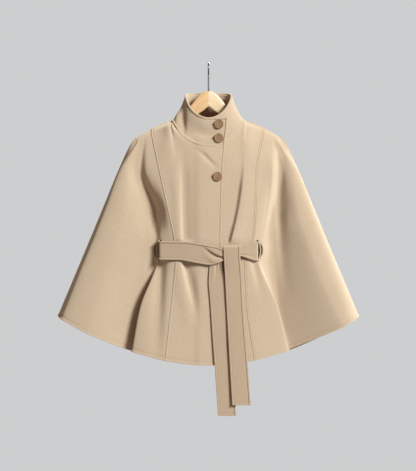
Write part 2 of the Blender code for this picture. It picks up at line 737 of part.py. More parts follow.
def make_belt(pieces):
    """The belt: two stretches on the front, the stretch inside the back, the tie and its two ends."""
    up = np.array((0.0, 0.0, 1.0))
    ends = []
    for name, rows, side in (("belt_right", BELT_RIGHT, -1), ("belt_left", BELT_LEFT, 1)):
        knot_x = rows[-1].along if side < 0 else rows[0].along
        turn_x = side * BELT_TURN_X
        run = belt_path(np.linspace(knot_x, turn_x, BELT_STEPS), pieces)
        if side < 0:
            run[:, 1] -= BELT_RIGHT_LIFT * ease((run[:, 0] - LAP_START) / (-LAP_START))
        swing = np.linspace(BELT_HEADING, math.pi / 2, BEND_STEPS)
        ring = np.stack((side * np.sin(swing), -np.cos(swing), 0 * swing), 1) * BELT_BEND
        turn = run[-1] + ring - ring[0]
        inward = np.stack((0 * swing, np.linspace(0, BELT_INWARD, BEND_STEPS), 0 * swing), 1)
        middle = np.concatenate((run, turn[1:], turn[-1] + inward[2::3]))
        stations = np.array([r.along for r in rows], float)
        at = np.clip(middle[:, 0], stations.min(), stations.max())
        top = np.interp(at, stations, [r.top for r in rows])
        foot = np.interp(at, stations, [r.foot for r in rows])
        middle[:, 2] = (top + foot) / 2
        strap_wall(name, middle, np.tile(up, (len(middle), 1)), (top - foot) / 2, BELT_CLOTH, CAMEL_BELT)
        ends.append(middle[-1])
    turn = np.linspace(0, math.pi, BACK_BELT_STEPS)
    half = (ends[1][0] - ends[0][0]) / 2
    centre = (ends[1][0] + ends[0][0]) / 2
    front = max(ends[0][1], ends[1][1]) + SEAM_GAP
    depth = BELT_BACK_DEPTH - front
    x = centre - half * np.sign(np.cos(turn)) * np.abs(np.cos(turn)) ** BELT_BACK_CURVE
    y = front + depth * np.sin(turn) ** BELT_BACK_CURVE
    middle = np.stack((x, y, np.full_like(x, BELT_Z)), 1)
    half_width = np.full(len(x), BELT_WIDTH / 2)
    strap_wall("belt_back", middle, np.tile(up, (len(x), 1)), half_width, BELT_CLOTH, CAMEL_BELT)
    for name, rows, curl in (("belt_tail_over", TAIL_OVER, True), ("belt_tail_under", TAIL_UNDER, False)):
        at = parts_of(np.arange(float(len(rows))), (TAIL_STEPS,) * (len(rows) - 1))
        values = pchip(np.array(rows), at)
        middle = np.stack(((values[:, 1] + values[:, 2]) / 2, -values[:, 3], values[:, 0]), 1)
        half = (values[:, 2] - values[:, 1]) / 2
        if curl:
            swing = np.linspace(math.pi, TAIL_CURL_END, TAIL_CURL_STEPS)
            circle = np.stack((0 * swing, 1 - np.cos(swing), np.sin(swing)), 1)
            middle = np.concatenate((middle[0] + circle * TAIL_CURL, middle))
            half = np.concatenate((np.full(TAIL_CURL_STEPS, half[0]), half))
        right = np.tile(np.array((1.0, 0.0, 0.0)), (len(middle), 1))
        strap_wall(name, middle, right, half, TAIL_CLOTH, CAMEL_BELT)
    x = np.linspace(KNOT_LEFT, KNOT_RIGHT, ROUND_STEPS // 2 + 1)[:, None]
    swell = KNOT_END + (1 - KNOT_END) * np.sin(np.linspace(0, math.pi, len(x)))[:, None]
    around = np.linspace(0, 2 * math.pi, ROUND_STEPS, endpoint=False)
    y = -(KNOT_FRONT + KNOT_BACK) / 2 + (KNOT_FRONT - KNOT_BACK) / 2 * swell * np.cos(around)
    z = (KNOT_TOP + KNOT_FOOT) / 2 + (KNOT_TOP - KNOT_FOOT) / 2 * swell * np.sin(around)
    tube("belt_knot", np.stack((x + 0 * y, y, z), -1), CAMEL_BELT)


def make_loops(pieces):
    """The carrier across each slit, standing just inside the lip."""
    slit = pieces[False][0][SLIT_FIRST_ROW:SLIT_LAST_ROW + 1]
    lip = len(SIDE_COLUMNS) - 1 - LIP_OF_SLIT
    share = np.linspace(0, 1, LOOP_STEPS)
    ahead = np.tile(np.array((0.0, 1.0, 0.0)), (LOOP_STEPS, 1))
    for name, column, side in (("belt_loop_right", lip, -1), ("belt_loop_left", -1 - lip, 1)):
        edge = slit[:, column]
        z = np.linspace(edge[0, 2] - LOOP_END_GAP, edge[-1, 2] + LOOP_END_GAP, LOOP_STEPS)
        x = np.interp(-z, -edge[:, 2], edge[:, 0]) - side * (LOOP_IN - LOOP_BOW * np.sin(share * math.pi))
        y = np.interp(-z, -edge[:, 2], edge[:, 1]) + LOOP_BACK
        half = np.full(LOOP_STEPS, LOOP_DEEP / 2)
        strap_wall(name, np.stack((x, y, z), 1), ahead, half, LOOP_THICK, CAMEL)


def make_buttons(collar, collar_facing, pieces):
    """Three turned discs, each on a short shank that stands on the cloth."""
    lapped = pieces[True][0]
    lapped_facing = normals(lapped, True)
    around = np.linspace(0, 2 * math.pi, BUTTON_STEPS, endpoint=False)[:, None]
    collar_half = COLLAR_STEPS // 2
    for index, (x, z) in enumerate(BUTTONS):
        grid, facing = lapped, lapped_facing
        if z > collar[0, -1, 2]:
            grid, facing = collar[:, collar_half:], collar_facing[:, collar_half:]
        miss = np.hypot(grid[..., 0] - x, grid[..., 2] - z)
        near = np.argsort(miss, axis=None)[:BUTTON_NEAREST]
        weight = 1 / (miss.reshape(-1)[near] + 1.0)
        weight = weight / weight.sum()
        axis = unit((facing.reshape(-1, 3)[near] * weight[:, None]).sum(0))
        base = grid.reshape(-1, 3)[near[0]]
        slope = -(axis[0] * (x - base[0]) + axis[2] * (z - base[2])) / axis[1]
        foot = np.array((x, base[1] + slope, z)) + axis * BUTTON_CLEAR
        aside = unit(np.cross(axis, (0.0, 0.0, 1.0)))
        upward = np.cross(aside, axis)
        circle = np.cos(around) * aside + np.sin(around) * upward
        rings = np.stack([foot + axis * row.height + circle * row.radius for row in BUTTON_PROFILE])
        tube(f"button_{index + 1}", rings, HORN, 0.45)


def make_hanger():
    """The wooden arms, and the wire hook that stands on them."""
    rows = [Arm(-a.out, a.top, a.foot) for a in ARMS[:0:-1]] + list(ARMS)
    around = np.linspace(0, 2 * math.pi, ROUND_STEPS, endpoint=False)
    wide = np.sign(np.cos(around)) * np.abs(np.cos(around)) ** ARM_SQUARE
    high = np.sign(np.sin(around)) * np.abs(np.sin(around)) ** ARM_SQUARE
    rings = np.zeros((len(rows), ROUND_STEPS, 3))
    for index, arm in enumerate(rows):
        end = abs(arm.out) / ARMS[-1].out
        rings[index, :, 0] = arm.out
        rings[index, :, 1] = ARM_CENTRE_Y + (ARM_END_Y - ARM_CENTRE_Y) * end + wide * ARM_THICK / 2
        rings[index, :, 2] = (arm.top + arm.foot) / 2 + high * (arm.top - arm.foot) / 2
    tube("hanger_arms", rings, BEECH, 0.4)
    radius = HOOK_INNER + HOOK_WIRE / 2
    turn = np.linspace(-math.pi / 2, HOOK_TIP - 2 * math.pi, HOOK_STEPS)
    arc_y = radius * np.cos(turn)
    arc_z = -HOOK_INNER + radius * np.sin(turn)
    stem_z = np.linspace(HOOK_FOOT_Z, arc_z[0], STEM_STEPS)[:-1]
    path = np.concatenate((
        np.stack((0 * stem_z, 0 * stem_z, stem_z), 1),
        np.stack((0 * arc_y, arc_y, arc_z), 1),
    ))
    along = unit(np.gradient(path, axis=0))
    aside = np.array((1.0, 0.0, 0.0))
    other = np.cross(along, aside)
    around = np.linspace(0, 2 * math.pi, WIRE_STEPS, endpoint=False)
    ring = np.cos(around)[None, :, None] * aside + np.sin(around)[None, :, None] * other[:, None, :]
    tube("hanger_hook", path[:, None, :] + ring * HOOK_WIRE / 2, STEEL, 0.3)


for old in list(bpy.data.objects):
    bpy.data.objects.remove(old)

front_pieces = make_fronts()
make_back()
collar_points, collar_normals = make_collar()
make_belt(front_pieces)
make_loops(front_pieces)
make_buttons(collar_points, collar_normals, front_pieces)
make_hanger()
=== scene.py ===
"""Looks of a belted cape coat of camel wool, hung on a wooden hanger.

Sizes are in millimetres and are put into metres where a mesh is made.  X is across, the wearer's right
at negative X, Y goes from the front (negative) to the back, and Z is up from the seat of the hook.
"""
import math
from collections import namedtuple

import bpy
import numpy as np
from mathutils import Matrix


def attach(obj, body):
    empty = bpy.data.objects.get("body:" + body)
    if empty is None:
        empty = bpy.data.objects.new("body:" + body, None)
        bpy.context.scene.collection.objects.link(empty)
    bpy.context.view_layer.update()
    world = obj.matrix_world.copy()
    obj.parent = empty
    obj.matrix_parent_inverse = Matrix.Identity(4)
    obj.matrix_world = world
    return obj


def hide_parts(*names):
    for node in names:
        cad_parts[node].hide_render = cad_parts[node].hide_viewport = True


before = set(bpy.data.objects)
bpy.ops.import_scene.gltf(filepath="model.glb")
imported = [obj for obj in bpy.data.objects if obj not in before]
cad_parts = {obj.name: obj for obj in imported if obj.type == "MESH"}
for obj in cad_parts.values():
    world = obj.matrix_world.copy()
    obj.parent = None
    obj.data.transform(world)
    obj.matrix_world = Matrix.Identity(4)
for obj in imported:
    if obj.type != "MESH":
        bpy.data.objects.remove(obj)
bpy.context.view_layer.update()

# Hook: drawn steel wire, bent cold round a former into an open hook and pushed into the top of the wood.
# The inside top of its bend is the origin, where it sits on a rail.
MM = 0.001
HOOK_INNER = 13.0
HOOK_WIRE = 4.0
HOOK_FOOT_Z = -79.0
HOOK_TIP = math.radians(-25)
HOOK_TIP_BLUNT = 0.98
BEND_POINTS = 64
STEM_POINTS = 12
WIRE_SIDES = 20
WIRE_DRAW_MM = 0.6
WIRE_DRAW_RUN = 25.0


def linear(code):
    """Linear colour, with alpha, of an sRGB hex value."""
    share = np.array([int(code[k:k + 2], 16) for k in (0, 2, 4)]) / 255
    bright = ((share + 0.055) / 1.055) ** 2.4
    return (*np.where(share <= 0.04045, share / 12.92, bright).tolist(), 1.0)


def node(tree, kind, inputs=(), **settings):
    """Adds one node: settings are its properties, inputs its sockets, each with a value or a link."""
    made = tree.nodes.new("ShaderNode" + kind)
    for key, value in settings.items():
        setattr(made, key, value)
    for key, value in dict(inputs).items():
        if isinstance(value, bpy.types.NodeSocket):
            tree.links.new(value, made.inputs[key])
        else:
            made.inputs[key].default_value = value
    return made


def new_finish(name):
    """An empty material and its node tree."""
    finish = bpy.data.materials.new(name)
    finish.use_nodes = True
    finish.node_tree.nodes.clear()
    return finish, finish.node_tree


def piece(name, points, faces, finish):
    """A smooth mesh at the origin, from points in millimetres and faces, that rides the one body."""
    mesh = bpy.data.meshes.new(name)
    mesh.from_pydata((np.asarray(points).reshape(-1, 3) * MM).tolist(), [], faces)
    mesh.shade_smooth()
    mesh.materials.append(finish)
    made = bpy.data.objects.new(name, mesh)
    bpy.context.scene.collection.objects.link(made)
    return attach(made, "root")


def unit(vectors):
    """Vectors brought to length one."""
    return vectors / np.maximum(np.linalg.norm(vectors, axis=-1, keepdims=True), 1e-12)


def ease(t):
    """Smooth rise from 0 to 1 as t goes from 0 to 1."""
    t = np.clip(t, 0.0, 1.0)
    return t * t * (3 - 2 * t)


def run_along(points):
    """Distance of each point of a line from its start."""
    return np.append(0.0, np.linalg.norm(np.diff(points, axis=0), axis=1).cumsum())


def ring_faces(count, around):
    """Faces of a body through count rings: a band from each ring to the next, and a cap at each end."""
    ring = np.arange(around)
    start = np.arange(count - 1)[:, None] * around
    turn = np.roll(ring, -1)
    bands = np.stack((start + ring, start + turn, start + around + turn, start + around + ring), -1)
    return bands.reshape(-1, 4).tolist() + [ring[::-1].tolist(), (ring + (count - 1) * around).tolist()]


def wire_steel():
    """Drawn steel wire: bright, with fine lines along the draw that blur its reflections."""
    finish, tree = new_finish("drawn_steel_wire")
    where = node(tree, "TexCoord").outputs["Object"]
    lines = node(tree, "Mapping", {"Vector": where, "Scale": (1.0, 1.0, 1 / WIRE_DRAW_RUN)})
    grain = node(tree, "TexNoise", {
        "Vector": lines.outputs[0], "Scale": 1 / (WIRE_DRAW_MM * MM), "Detail": 2.0})
    rough = node(tree, "MapRange", {"Value": grain.outputs["Fac"], "To Min": 0.24, "To Max": 0.42})
    dent = node(tree, "Bump", {"Height": grain.outputs["Fac"], "Strength": 0.15, "Distance": 0.0001})
    shader = node(tree, "BsdfPrincipled", {
        "Base Color": linear("6f6e6d"), "Metallic": 1.0,
        "Roughness": rough.outputs[0], "Normal": dent.outputs[0]})
    node(tree, "OutputMaterial", {"Surface": shader.outputs[0]})
    return finish


def hook_rings():
    """A circle carried up the stem and round the bend, drawn in to a round point at the tip."""
    radius = HOOK_INNER + HOOK_WIRE / 2
    turn = np.linspace(-math.pi / 2, HOOK_TIP - 2 * math.pi, BEND_POINTS)
    bend = np.stack((0 * turn, radius * np.cos(turn), radius * np.sin(turn) - HOOK_INNER), 1)
    stem_z = np.linspace(HOOK_FOOT_Z, bend[0, 2], STEM_POINTS, endpoint=False)
    path = np.concatenate((np.stack((0 * stem_z, 0 * stem_z, stem_z), 1), bend))
    along = unit(np.gradient(path, axis=0))
    run = run_along(path)
    wire = HOOK_WIRE / 2
    size = wire * np.sqrt(1 - np.clip(1 - (run[-1] - run) / wire, 0.0, HOOK_TIP_BLUNT) ** 2)
    around = np.linspace(0, 2 * math.pi, WIRE_SIDES, endpoint=False)[None, :, None]
    aside = np.array((1.0, 0.0, 0.0))
    other = np.cross(along, aside)[:, None]
    return path[:, None] + (np.cos(around) * aside + np.sin(around) * other) * size[:, None, None]


rings = hook_rings()
hook = piece("hook", rings, ring_faces(*rings.shape[:2]), wire_steel())
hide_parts("hanger_hook")

# Hanger: two arms of beech, glued at a mitre over the neck, rounded over and lacquered.  Each arm leans
# back from the mitre, so the joint shows as a fine line between two planes.
Arm = namedtuple("Arm", "out top foot")
ARMS = (
    Arm(0, -77, -121), Arm(6, -77.6, -125), Arm(12, -79, -130), Arm(18, -82, -134.5), Arm(24, -86.5, -138.5),
    Arm(36, -100, -147), Arm(52, -119, -157), Arm(78, -145, -174), Arm(90, -157, -182), Arm(104, -168, -191),
    Arm(150, -183.5, -209), Arm(180, -200, -222), Arm(187, -205, -224), Arm(190, -210, -221),
)
ARM_THICK = 12.0
ARM_FRONT_Y = -2.5
ARM_BACK_Y = 1.6
ARM_LEAN_OUT = 70.0
ARM_SQUARE = 0.45
ARM_SIDES = 40
ARM_STEPS = 8
GRAIN_MM = 1.1
GRAIN_RUN = 14.0
GRAIN_BAND = 7
GRAIN_SLOPE = math.radians(40)


def beech():
    """Beech under satin lacquer: fine straight grain along each arm.  The arm at negative X is toned darker
    and warmer as painted half-shade, the other paler as painted key light, so the two part at the mitre."""
    finish, tree = new_finish("lacquered_beech")
    where = node(tree, "TexCoord")
    split = node(tree, "SeparateXYZ", {"Vector": where.outputs["Object"]})
    outward = node(tree, "Math", {0: split.outputs["X"]}, operation="ABSOLUTE")
    folded = node(tree, "CombineXYZ", {
        "X": outward.outputs[0], "Y": split.outputs["Y"], "Z": split.outputs["Z"]})
    turned = node(tree, "Mapping", {"Vector": folded.outputs[0], "Rotation": (0.0, -GRAIN_SLOPE, 0.0)})
    drawn = node(tree, "Mapping", {"Vector": turned.outputs[0], "Scale": (1 / GRAIN_RUN, 1.0, 1.0)})
    grain = node(tree, "TexNoise", {
        "Vector": drawn.outputs[0], "Scale": 1 / (GRAIN_MM * MM), "Detail": 4.0, "Distortion": 0.2})
    band = node(tree, "TexNoise", {
        "Vector": drawn.outputs[0], "Scale": 1 / (GRAIN_BAND * GRAIN_MM * MM), "Detail": 2.0})
    broad = node(tree, "Math", {0: band.outputs["Fac"], 1: 0.5, 2: 0.25}, operation="MULTIPLY_ADD")
    mixed = node(tree, "Math", {
        0: grain.outputs["Fac"], 1: 0.45, 2: broad.outputs[0]}, operation="MULTIPLY_ADD")
    lit_and_shaded_arm_tones = []
    # Painted shade: the first pair of tones is the arm at negative X, darkened and warmed as half-shade; the
    # second is the arm at positive X, paler as painted key light.
    for dark, light in (("b98a58", "d9ae7e"), ("b89468", "d9b993")):
        tone = node(tree, "ValToRGB", {"Fac": mixed.outputs[0]})
        tone.color_ramp.elements[0].position = 0.5
        tone.color_ramp.elements[0].color = linear(dark)
        tone.color_ramp.elements[1].position = 0.92
        tone.color_ramp.elements[1].color = linear(light)
        lit_and_shaded_arm_tones.append(tone.outputs["Color"])
    second = node(tree, "Math", {0: split.outputs["X"], 1: 0.0}, operation="GREATER_THAN")
    arm_tone_painted_shade = node(tree, "Mix", {0: second.outputs[0], 6: lit_and_shaded_arm_tones[0], 7: lit_and_shaded_arm_tones[1]}, data_type="RGBA")
    dent = node(tree, "Bump", {"Height": grain.outputs["Fac"], "Strength": 0.12, "Distance": 0.0002})
    shader = node(tree, "BsdfPrincipled", {
        "Base Color": arm_tone_painted_shade.outputs[2], "Roughness": 0.42, "Coat Weight": 0.25,
        "Coat Roughness": 0.3, "Normal": dent.outputs[0]})
    node(tree, "OutputMaterial", {"Surface": shader.outputs[0]})
    return finish


def slopes(values):
    """Slope at each of values one step apart: the harmonic mean of its two steps, flat at an extreme."""
    step = np.diff(values, axis=0)
    rising = step[:-1] * step[1:] > 0
    total = np.where(rising, step[:-1] + step[1:], 1.0)
    inner = np.where(rising, 2 * step[:-1] * step[1:] / total, 0.0)
    return np.concatenate((step[:1], inner, step[-1:]))


def hermite(a, b, slope_a, slope_b, t):
    """Cubic from a to b with those slopes at its ends, t from 0 to 1."""
    rise = a * (1 + 2 * t) * (1 - t) ** 2 + slope_a * t * (1 - t) ** 2
    return rise + b * t * t * (3 - 2 * t) + slope_b * t * t * (t - 1)


def across(values, at):
    """Smooth curve through rows of values at parameters of any shape: that shape, then that of a row."""
    values = np.asarray(values, float)
    at = np.asarray(at, float)
    slope = slopes(values)
    low = np.clip(np.floor(at).astype(int), 0, len(values) - 2)
    t = (at - low).reshape(at.shape + (1,) * (values.ndim - 1))
    return hermite(values[low], values[low + 1], slope[low], slope[low + 1], t)


def down(levels, at):
    """The same curve down a stack of grids of points, each point of the grid at its own parameter."""
    slope = slopes(levels)
    low = np.clip(np.floor(at).astype(int), 0, len(levels) - 2)[None, ..., None]
    ends = [np.take_along_axis(stack, low + k, 0)[0] for stack in (levels, slope) for k in (0, 1)]
    return hermite(*ends, (at - low[0, ..., 0])[..., None])


def squared(wave, power):
    """A wave between -1 and 1 with its size taken to a power below 1, which squares its corners."""
    return np.sign(wave) * np.abs(wave) ** power


def arm_rings():
    """A squared oval carried out along both arms; the arms lean back from the ridge at the centre."""
    last = len(ARMS) - 1
    half = across(ARMS, np.linspace(0, last, ARM_STEPS * last + 1))
    rows = np.concatenate((half[:0:-1] * (-1, 1, 1), half))
    around = np.linspace(0, 2 * math.pi, ARM_SIDES, endpoint=False)
    deep = squared(np.cos(around), ARM_SQUARE)
    high = squared(np.sin(around), ARM_SQUARE)
    lean = np.clip(np.abs(rows[:, :1]) / ARM_LEAN_OUT, 0.0, 1.0)
    y = ARM_FRONT_Y + (ARM_BACK_Y - ARM_FRONT_Y) * lean + deep * ARM_THICK / 2
    z = (rows[:, 1:2] + rows[:, 2:]) / 2 + high * (rows[:, 1:2] - rows[:, 2:]) / 2
    return np.stack((rows[:, :1] + 0 * y, y, z), -1)


rings = arm_rings()
arms = piece("hanger", rings, ring_faces(*rings.shape[:2]), beech())
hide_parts("hanger_arms")

# Fronts: four panels of thick double-faced wool, cut to hang as one cape and sewn at two princess seams.
# The right front laps over the left; each side front runs out over the arm and has a slit for the belt.
CLOTH = 2.5
WOOL_FIBRE_MM = 1.7
WOOL_CLOUD_MM = 60.0
WOOL_CLOUD_SHARE = 0.12
WOOL_NAP_MM = 1.0
NECK_HALF = 104.0
NECK_SIDE_Z = -160.0
NECK_FRONT_DROP = 72.0
NECK_CURVE = 0.8
NECK_FRONT_DEPTH = 74.0
NECK_BACK_RISE = 10.0
NECK_BACK_DEPTH = 46.0
NECK_TURN = 4.0
LAP_SAG = 6.0
SHOULDER_OUT = (104.0, 150.0, 183.0, 209.0)
SHOULDER_Z = (-160.0, -178.0, -195.0, -212.0)
SHOULDER_ROUND = 16.0
SHOULDER_TURN = 12.0
SHOULDER_SPREAD = 9.0
OVERARM_OUT = (209.0, 231.0, 244.5, 325.0, 424.0)
OVERARM_Z = (-212.0, -246.0, -279.0, -475.0, -712.0)
HEM_CENTRE_Z = -844.0
HEM_RISE = 133.0
HEM_POWER = 1.9
SEAM_HALF_GAP = 0.15
Level = namedtuple(
    "Level", "z centre seam_out seam side_out side lip_out lip dip_out dip crest crest_share")
RIGHT_LEVELS = (
    Level(-300, 90, 139, 68, 174, 54, 191, 36, 205, 38, 54, 0.55),
    Level(-420, 98, 112, 88, 135, 60, 151, 34, 173, 44, 78, 0.55),
    Level(-497, 100, 96, 94, 131, 78, 149, 60, 172, 62, 86, 0.55),
    Level(-526, 100, 94, 94, 134, 81, 152, 62, 180, 68, 88, 0.55),
    Level(-556, 100, 92, 94, 136, 82, 151, 60, 180, 66, 90, 0.55),
    Level(-680, 112, 104, 106, 189, 88, 180, 50, 212, 62, 96, 0.55),
    Level(-844, 126, 121, 120, 214, 92, 204, 48, 236, 62, 100, 0.55),
)
LEFT_LEVELS = (
    Level(-300, 90, 136, 78, 160, 71, 176, 62, 200, 44, 54, 0.6),
    Level(-420, 98, 132, 90, 150, 82, 165, 66, 184, 38, 80, 0.6),
    Level(-497, 100, 124, 88, 134, 83, 151, 70, 181, 40, 86, 0.62),
    Level(-526, 100, 112, 91, 135, 83, 152, 68, 183, 38, 88, 0.64),
    Level(-556, 100, 104, 93, 136, 83, 151, 62, 184, 36, 90, 0.65),
    Level(-680, 112, 110, 106, 191, 92, 183, 46, 197, 29, 97, 0.68),
    Level(-844, 126, 131, 120, 224, 96, 214, 46, 230, 31, 102, 0.75),
)
LAST_LEVEL = len(RIGHT_LEVELS) + 1
SEAM_TOP = {-1: 161.0, 1: 156.0}
TOP_SHARES = (-0.4, 0.0, 0.2, 0.4, 0.55, 0.75, 0.9, 1.0)
INNER_SHARE = 0.6
NEAR_SHARE = 0.93
NEAR_DEPTH = 0.74
LAP_EDGE = (46.0, 45.0, 41.0, 37.0, 36.0, 36.0, 36.0, 34.0, 33.0)
LAP_UNDER = -14.0
LAP_LIFT = CLOTH + 2.4
LAP_START = -46.0
LAP_FULL = -20.0
GATHER_RIGHT = (-104.0, -104.0, -86.0, -76.0, -70.0, -69.0, -69.0, -50.0, -46.0)
GATHER_LEFT = (104.0, 104.0, 99.0, 83.5, 64.0, 62.0, 62.0, 70.0, 76.0)
BELT_Z = -526.0
BELT_FLAT = 10.0
BELT_FADE = 30.0
Fold = namedtuple("Fold", "head_x head_z foot_x foot_z bow height inner outer grows fades")
BODY_FOLDS = (
    Fold(-74, -225, -67, -500, 0, -10, 20, 7, 0.45, 0.01),
    Fold(-98, -260, -80, -500, 0, 4, 10, 14, 0.4, 0.01),
    Fold(100, -235, 60, -510, 11, 13, 4.2, 34, 0.42, 0.01),
    Fold(-68, -552, -22, -760, 0, -12, 16, 7, 0.01, 0.8),
    Fold(-84, -552, -44, -790, 0, 6, 10, 20, 0.01, 0.7),
    Fold(-132, -552, -150, -900, 0, -19, 14, 18, 0.01, 0.8),
    Fold(124, -552, 158, -700, 0, -9, 9, 11, 0.01, 0.9),
    Fold(-36, -236, 36, -312, 0, -6.5, 8, 8, 0.35, 0.5),
)
NECK_FILLS = (
    Fold(-113, -158, -104, -300, 0, 12, 14, 30, 0.1, 0.6),
    Fold(-109, -161, -105, -235, 0, 9, 5, 16, 0.14, 0.7),
    Fold(107, -160, 100, -300, 0, 11, 10, 26, 0.12, 0.6),
)
FILL_FROM_SEAM = 1.1
WING_FOLDS = (
    Fold(200, -222, 224, -690, -14, -10, 9, 17, 0.06, 0.75),
    Fold(182, -240, 180, -520, 0, 9, 16, 16, 0.25, 0.3),
)
EDGE_STEPS = (0.7, 2.0, 3.4, 4.2, 4.6, 5.0, 5.4, 5.8, 6.6, 8.0)
HEM_STEPS = (0.7, 2.0, 3.6, 4.5, 5.0, 5.5, 6.4, 8.0, 9.4, 10.0, 10.6, 12.0)
STITCH_AT = 5.0
SECOND_STITCH_AT = 10.0
STITCH_DIP = 0.7
STITCH_HALF = 0.9
WELT = 1.1
WELT_FALL = 1.2
RIM_TURNS = 3
RIM_OUT = 0.45
THREAD_TWIST_MM = 0.8
ROW_COUNTS = (24, 20, 20, 12, 12, 26, 28)
TOP_RUN = 16.0
TOP_LIMIT = 0.9
HEM_RUN = 150.0
FAR = 1000.0
ROUNDING = 1e-6
SIDE_STOPS = tuple(range(1, 8))
SIDE_COUNTS = (12, 12, 10, 22, 22, 14)
SLIT_ROWS = (4.0, 6.0)
SLIT_CUT = (3.95, 6.05)
SLIT_TAPER = 0.8
SLIT_COLUMNS = (2.0, 3.0)
STITCH_PITCH = 4.0
STITCH_LONG = 3.0
STITCH_BODY = 0.28
STITCH_WIDE = 0.75
STITCH_HIGH = 0.4


def wool(name, light, dark):
    """Brushed wool coating: matt, a short nap that catches light at the edges, fibres of two close tones.
    The real fibres are far finer than a pixel, so the fleck is drawn as coarse as it needs to show."""
    finish, tree = new_finish(name)
    where = node(tree, "TexCoord").outputs["Object"]
    fibre = node(tree, "TexNoise", {"Vector": where, "Scale": 1 / (WOOL_FIBRE_MM * MM), "Detail": 3.0})
    cloud = node(tree, "TexNoise", {"Vector": where, "Scale": 1 / (WOOL_CLOUD_MM * MM), "Detail": 2.0})
    base = node(tree, "Math", {0: cloud.outputs["Fac"], 1: WOOL_CLOUD_SHARE}, operation="MULTIPLY")
    fleck = node(tree, "Math", {
        0: fibre.outputs["Fac"], 1: 1 - WOOL_CLOUD_SHARE, 2: base.outputs[0]}, operation="MULTIPLY_ADD")
    tone = node(tree, "ValToRGB", {"Fac": fleck.outputs[0]})
    tone.color_ramp.elements[0].position = 0.3
    tone.color_ramp.elements[0].color = linear(dark)
    tone.color_ramp.elements[1].position = 0.7
    tone.color_ramp.elements[1].color = linear(light)
    nap = node(tree, "TexNoise", {"Vector": where, "Scale": 1 / (WOOL_NAP_MM * MM), "Detail": 2.0})
    fuzz = node(tree, "Bump", {"Height": nap.outputs["Fac"], "Strength": 0.35, "Distance": 0.0004})
    shader = node(tree, "BsdfPrincipled", {
        "Base Color": tone.outputs["Color"], "Roughness": 0.95, "Diffuse Roughness": 1.0,
        "Specular IOR Level": 0.15, "Sheen Weight": 0.25, "Sheen Roughness": 0.5,
        "Sheen Tint": linear("ffe9cf"), "Normal": fuzz.outputs[0]})
    node(tree, "OutputMaterial", {"Surface": shader.outputs[0]})
    return finish


def round_share(x, half):
    """1 at the centre of a round neck, 0 at its sides."""
    return np.clip(1 - (x / half) ** 2, 0.0, 1.0)


def shoulder_z(x):
    """Height of the shoulder seam."""
    return np.interp(np.abs(x), SHOULDER_OUT, SHOULDER_Z)


def hem_z(x):
    """Height of the hem: it rises from the centre as a power of the distance out."""
    return HEM_CENTRE_Z + HEM_RISE * (np.abs(x) / OVERARM_OUT[-1]) ** HEM_POWER


def neck_line(x, front, lapped):
    """Depth and height of the neck and shoulder seams, and of the turn just below them."""
    inside = np.abs(x) < NECK_HALF
    share = np.where(lapped & (x > 0) & inside, 1.0, round_share(x, NECK_HALF))
    drop = -NECK_FRONT_DROP * share ** NECK_CURVE if front else NECK_BACK_RISE * share
    sag = LAP_SAG * ease(x / LAP_EDGE[0]) if lapped else 0.0
    depth = (-NECK_FRONT_DEPTH if front else NECK_BACK_DEPTH) * np.sqrt(share)
    z = np.where(inside, NECK_SIDE_Z + drop - sag, shoulder_z(x))
    sign = -1.0 if front else 1.0
    out = SHOULDER_ROUND + (NECK_TURN - SHOULDER_ROUND) * np.sqrt(round_share(x, NECK_HALF))
    return (depth + sign * SEAM_HALF_GAP, z), (depth + sign * out, z - SHOULDER_TURN)


def fold_height(grid, folds, belted=True):
    """Each fold is a ridge or trough along a line, bowed aside by a parabola; across it is a bell with its
    own width on each side.  It grows from its head and fades to its foot; a belt presses it flat."""
    x, z = grid[..., 0], grid[..., 2]
    total = np.zeros_like(x)
    for fold in folds:
        along = np.clip((fold.head_z - z) / (fold.head_z - fold.foot_z), 0.0, 1.0)
        middle = fold.head_x + (fold.foot_x - fold.head_x) * along + fold.bow * 4 * along * (1 - along)
        outward = (x - middle) * np.sign(middle)
        width = np.where(outward < 0, fold.inner, fold.outer)
        strength = ease(along / fold.grows) * ease((1 - along) / fold.fades)
        if belted:
            strength = strength * ((z > BELT_Z) == (fold.head_z > BELT_Z))
        total += fold.height * strength * np.exp(-((outward / width) ** 2))
    return total * ease((np.abs(z - BELT_Z) - BELT_FLAT) / BELT_FADE) if belted else total


def neck_fill(grid, v):
    """How far the cloth is filled out beside the neck points, from nothing on the top seams."""
    return fold_height(grid, NECK_FILLS) * ease(v / FILL_FROM_SEAM)


